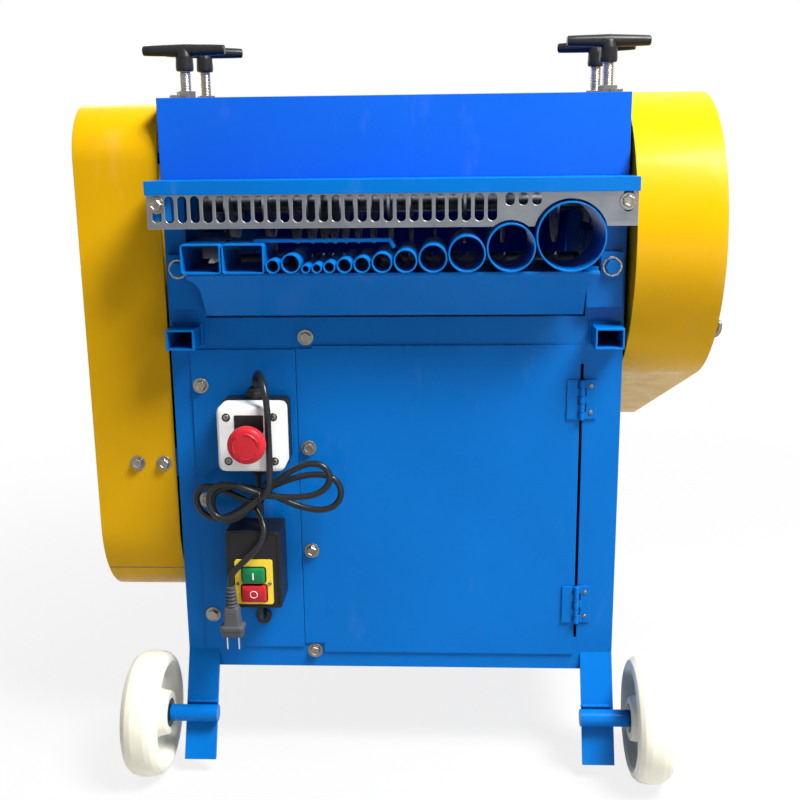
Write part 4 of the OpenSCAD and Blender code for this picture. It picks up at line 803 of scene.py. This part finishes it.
def thread(r, z0, z1, pitch=1.75, seg=28, depth=0.62):
    """A real helical thread between two heights."""
    bm = bmesh.new()
    count = int((z1 - z0) / pitch) * seg
    crest, root = [], []
    for k in range(count + 1):
        a, z = 2 * math.pi * k / seg, z0 + pitch * k / seg
        crest.append(bm.verts.new((r * math.cos(a), r * math.sin(a), z)))
        root.append(bm.verts.new(((r - depth) * math.cos(a), (r - depth) * math.sin(a), z + pitch / 2)))
    for k in range(count):
        bm.faces.new((crest[k], crest[k + 1], root[k + 1], root[k]))
        if k + seg + 1 <= count:
            bm.faces.new((root[k], root[k + 1], crest[k + seg + 1], crest[k + seg]))
    return bm


def t_handles():
    bar = rounded([(0, -45, 0), (4.6, -45, 0.9), (5.3, -44, 0.9), (5.7, -36, 3), (6.75, 0, 8),
                   (5.7, 36, 3), (5.3, 44, 0.9), (4.6, 45, 0.9), (0, 45, 0)])
    hub = rounded([(0, 0, 0), (8.6, 0, 0.8), (9.4, 1.2, 0.8), (9.7, 4, 1), (9.2, 15, 3), (7.2, 23, 2), (0, 24, 0)])
    for body, node, sx, sy, turn, rise in (("screw_fl", "t_handle_front_left", -1, -1, 0, 0),
                                           ("screw_fr", "t_handle_front_right", 1, -1, 5, 3),
                                           ("screw_rl", "t_handle_rear_left", -1, 1, 20, 6),
                                           ("screw_rr", "t_handle_rear_right", 1, 1, -18, 6)):
        x, y = sx * SCREW_X, SCREW_Y + sy * SCREW_STEP
        spun = Matrix.Rotation(math.radians(turn), 4, "Z") @ ALONG_X
        grip = joined((lathe(bar, 40), place(x, y, BAR_Z + rise, spun)),
                      (lathe(hub, 48), place(x, y, HUB_Z + rise)))
        piece(node + "_grip", grip, GRIP, body, (node,))
        core = lathe([(0, STUD_Z), (5.2, STUD_Z), (5.9, 665), (5.9, 700), (5.42, THREAD_Z),
                      (5.42, STUD_TOP + rise), (0, STUD_TOP + rise)], 28)
        stud = joined((core, place(x, y, 0)), (thread(6.0, THREAD_Z, THREAD_TOP + rise), place(x, y, 0)))
        piece(node + "_stud", stud, ZINC, body, (node,))


t_handles()


# Wheels

WHEEL_X, AXLE_Y, AXLE_Z = 282, -37.785, 70


def wheels():
    """Moulded wheels: bore, hub, thin web and rounded rim, turned in one piece, with a bush on each side."""
    side = [(8.06, 20.2, 0), (9.4, 21, 0.6), (23.2, 21, 1.4), (24.2, 19.6, 1.6), (26.8, 7.2, 3), (49.6, 7.0, 4),
            (54.0, 18, 2.5), (58.0, 21, 2.2), (64.0, 18.5, 2.5), (68.0, 13.5, 2.5), (69.8, 7, 4), (70.0, 0, 0)]
    other = [(r, -z, e) for r, z, e in side[-2::-1]]
    outline = rounded(side + other)
    for body, node, s in (("wheel_r", "wheel_right", 1), ("wheel_l", "wheel_left", -1)):
        m = place(s * WHEEL_X, AXLE_Y, AXLE_Z, ALONG_X)
        tyre = lathe(outline + [outline[0]], 128)
        piece(node + "_moulding", joined((tyre, m)), NYLON, body, (node,))
        bushes = []
        for turn in (0, math.pi):
            bush = lathe(rounded([(8.1, 20.8, 0), (8.1, 21.5, 0.1), (15.6, 21.5, 0.4), (16.4, 20.7, 0)]), 48)
            bushes.append((bush, m @ Matrix.Rotation(turn, 4, "X")))
        piece(node + "_bushes", joined(*bushes), BLACK, body)


wheels()


# Weld beads, seams and small hardware

BEAD_STEP, BEAD_SIDES, LUMP = 0.9, 8, 3.2
LEG_LEAN, LEG_TOP, LEG_H = 50, 132, 114  # a leg leans LEG_LEAN forward over LEG_H, from LEG_TOP down


def bead(points, r, seed):
    """A lumpy weld bead along points in mm, thinner at its ends."""
    pts = [Vector(p) for p in points]
    out = []
    for a, b in zip(pts, pts[1:]):
        n = max(2, int((b - a).length / BEAD_STEP))
        out += [a.lerp(b, k / n) for k in range(n)]
    out.append(pts[-1])
    bm = sweep(out, round_bar(r, BEAD_SIDES))
    bm.verts.ensure_lookup_table()
    for i, p in enumerate(out):
        wave = 0.82 + 0.24 * abs(math.sin(math.pi * i * BEAD_STEP / LUMP + seed))
        wave += 0.22 * noise.noise(p * 0.35 + Vector((seed, 0, 0)))
        end = min(1.0, 0.35 + min(i, len(out) - 1 - i) / 3)
        for k in range(BEAD_SIDES):
            v = bm.verts[i * BEAD_SIDES + k]
            v.co = p + (v.co - p) * wave * end
    return bm


def welds():
    beads = []
    for s in (-1, 1):
        for up, seed in ((1, 0.3), (-1, 1.7)):
            # where the round stub meets the leaning leg, above and below the line of contact
            z = AXLE_Z + 7.6 * up
            face = -LEG_LEAN * (LEG_TOP - z) / LEG_H
            run = [(s * x, face - 1.4, z) for x in (208, 218, 228, 238, 243)]
            beads.append(bead(run, 2.3 if up > 0 else 1.9, seed + s))
        # round the socket on the post, and under the lug
        x0, x1, z0, z1 = 210.2, 241.6, 491.2, 514.8
        loop = [(x0, z0), (x1, z0), (x1, z1), (x0, z1), (x0, z0)]
        beads.append(bead([(s * x, -0.9, z) for x, z in loop], 1.7, 2.1 + s))
        beads.append(bead([(s * x, -1.0, 532.4) for x in (204, 214, 226, 240)], 1.6, 0.8 + s))
    whole = joined(*beads)
    bmesh.ops.transform(whole, matrix=place(0, 0, 0), verts=whole.verts)
    piece("weld_beads", whole, BLUE, "machine")


welds()


GUARD_Y, GUARD_Z, GUARD_R = 105, 278, 100  # the left guard's lower front corner
SEAM_Z = 224.0
HOOKS = ((1, 22, 496), (-1, 215, 690))  # side, Y and Z


def guard_trim():
    """The seam across the left guard as a thin dark line of painted shade, and a hook with a collar on each guard.
    """
    y = GUARD_Y - math.sqrt(GUARD_R ** 2 - (GUARD_Z - SEAM_Z) ** 2)
    # painted shade: the seam's groove is drawn as a thin dark bar
    seam = sweep([(x, y - 0.1, SEAM_Z) for x in (-338.5, -320, -300, -280, -250.5)], round_bar(0.55, 6))
    piece("guard_seam_shade", joined((seam, place(0, 0, 0))), IRON, "machine")
    hooks = []
    for s, y, z in HOOKS:
        rod = [(338.5, 0), (342, 0), (345.5, 0.6), (348.6, 2.4), (350.6, 5.2), (351.4, 8.6), (351.6, 11.5)]
        hooks.append(sweep([(s * x, y, z + up) for x, up in rod], round_bar(3.0, 12)))
        eye = lathe(rounded([(0, -2.2, 0), (3.8, -2.2, 1), (4.3, 0, 2), (3.8, 2.2, 1), (0, 2.2, 0)]), 24)
        hooks.append((eye, Matrix.Translation((s * 351.4, y, z + 13)) @ ALONG_X))
        collar = lathe(rounded([(0, 0, 0), (6.8, 0, 0.4), (6.8, 2.4, 0.8), (0, 2.4, 0)]), 32)
        outwards = Matrix.Rotation(math.radians(90 * s), 4, "Y")
        hooks.append((collar, Matrix.Translation((s * 340, y, z)) @ outwards))
    knobs = joined(*hooks)
    bmesh.ops.transform(knobs, matrix=place(0, 0, 0), verts=knobs.verts)
    piece("guard_hooks", knobs, ZINC, "machine", ("guard_knobs",))


guard_trim()
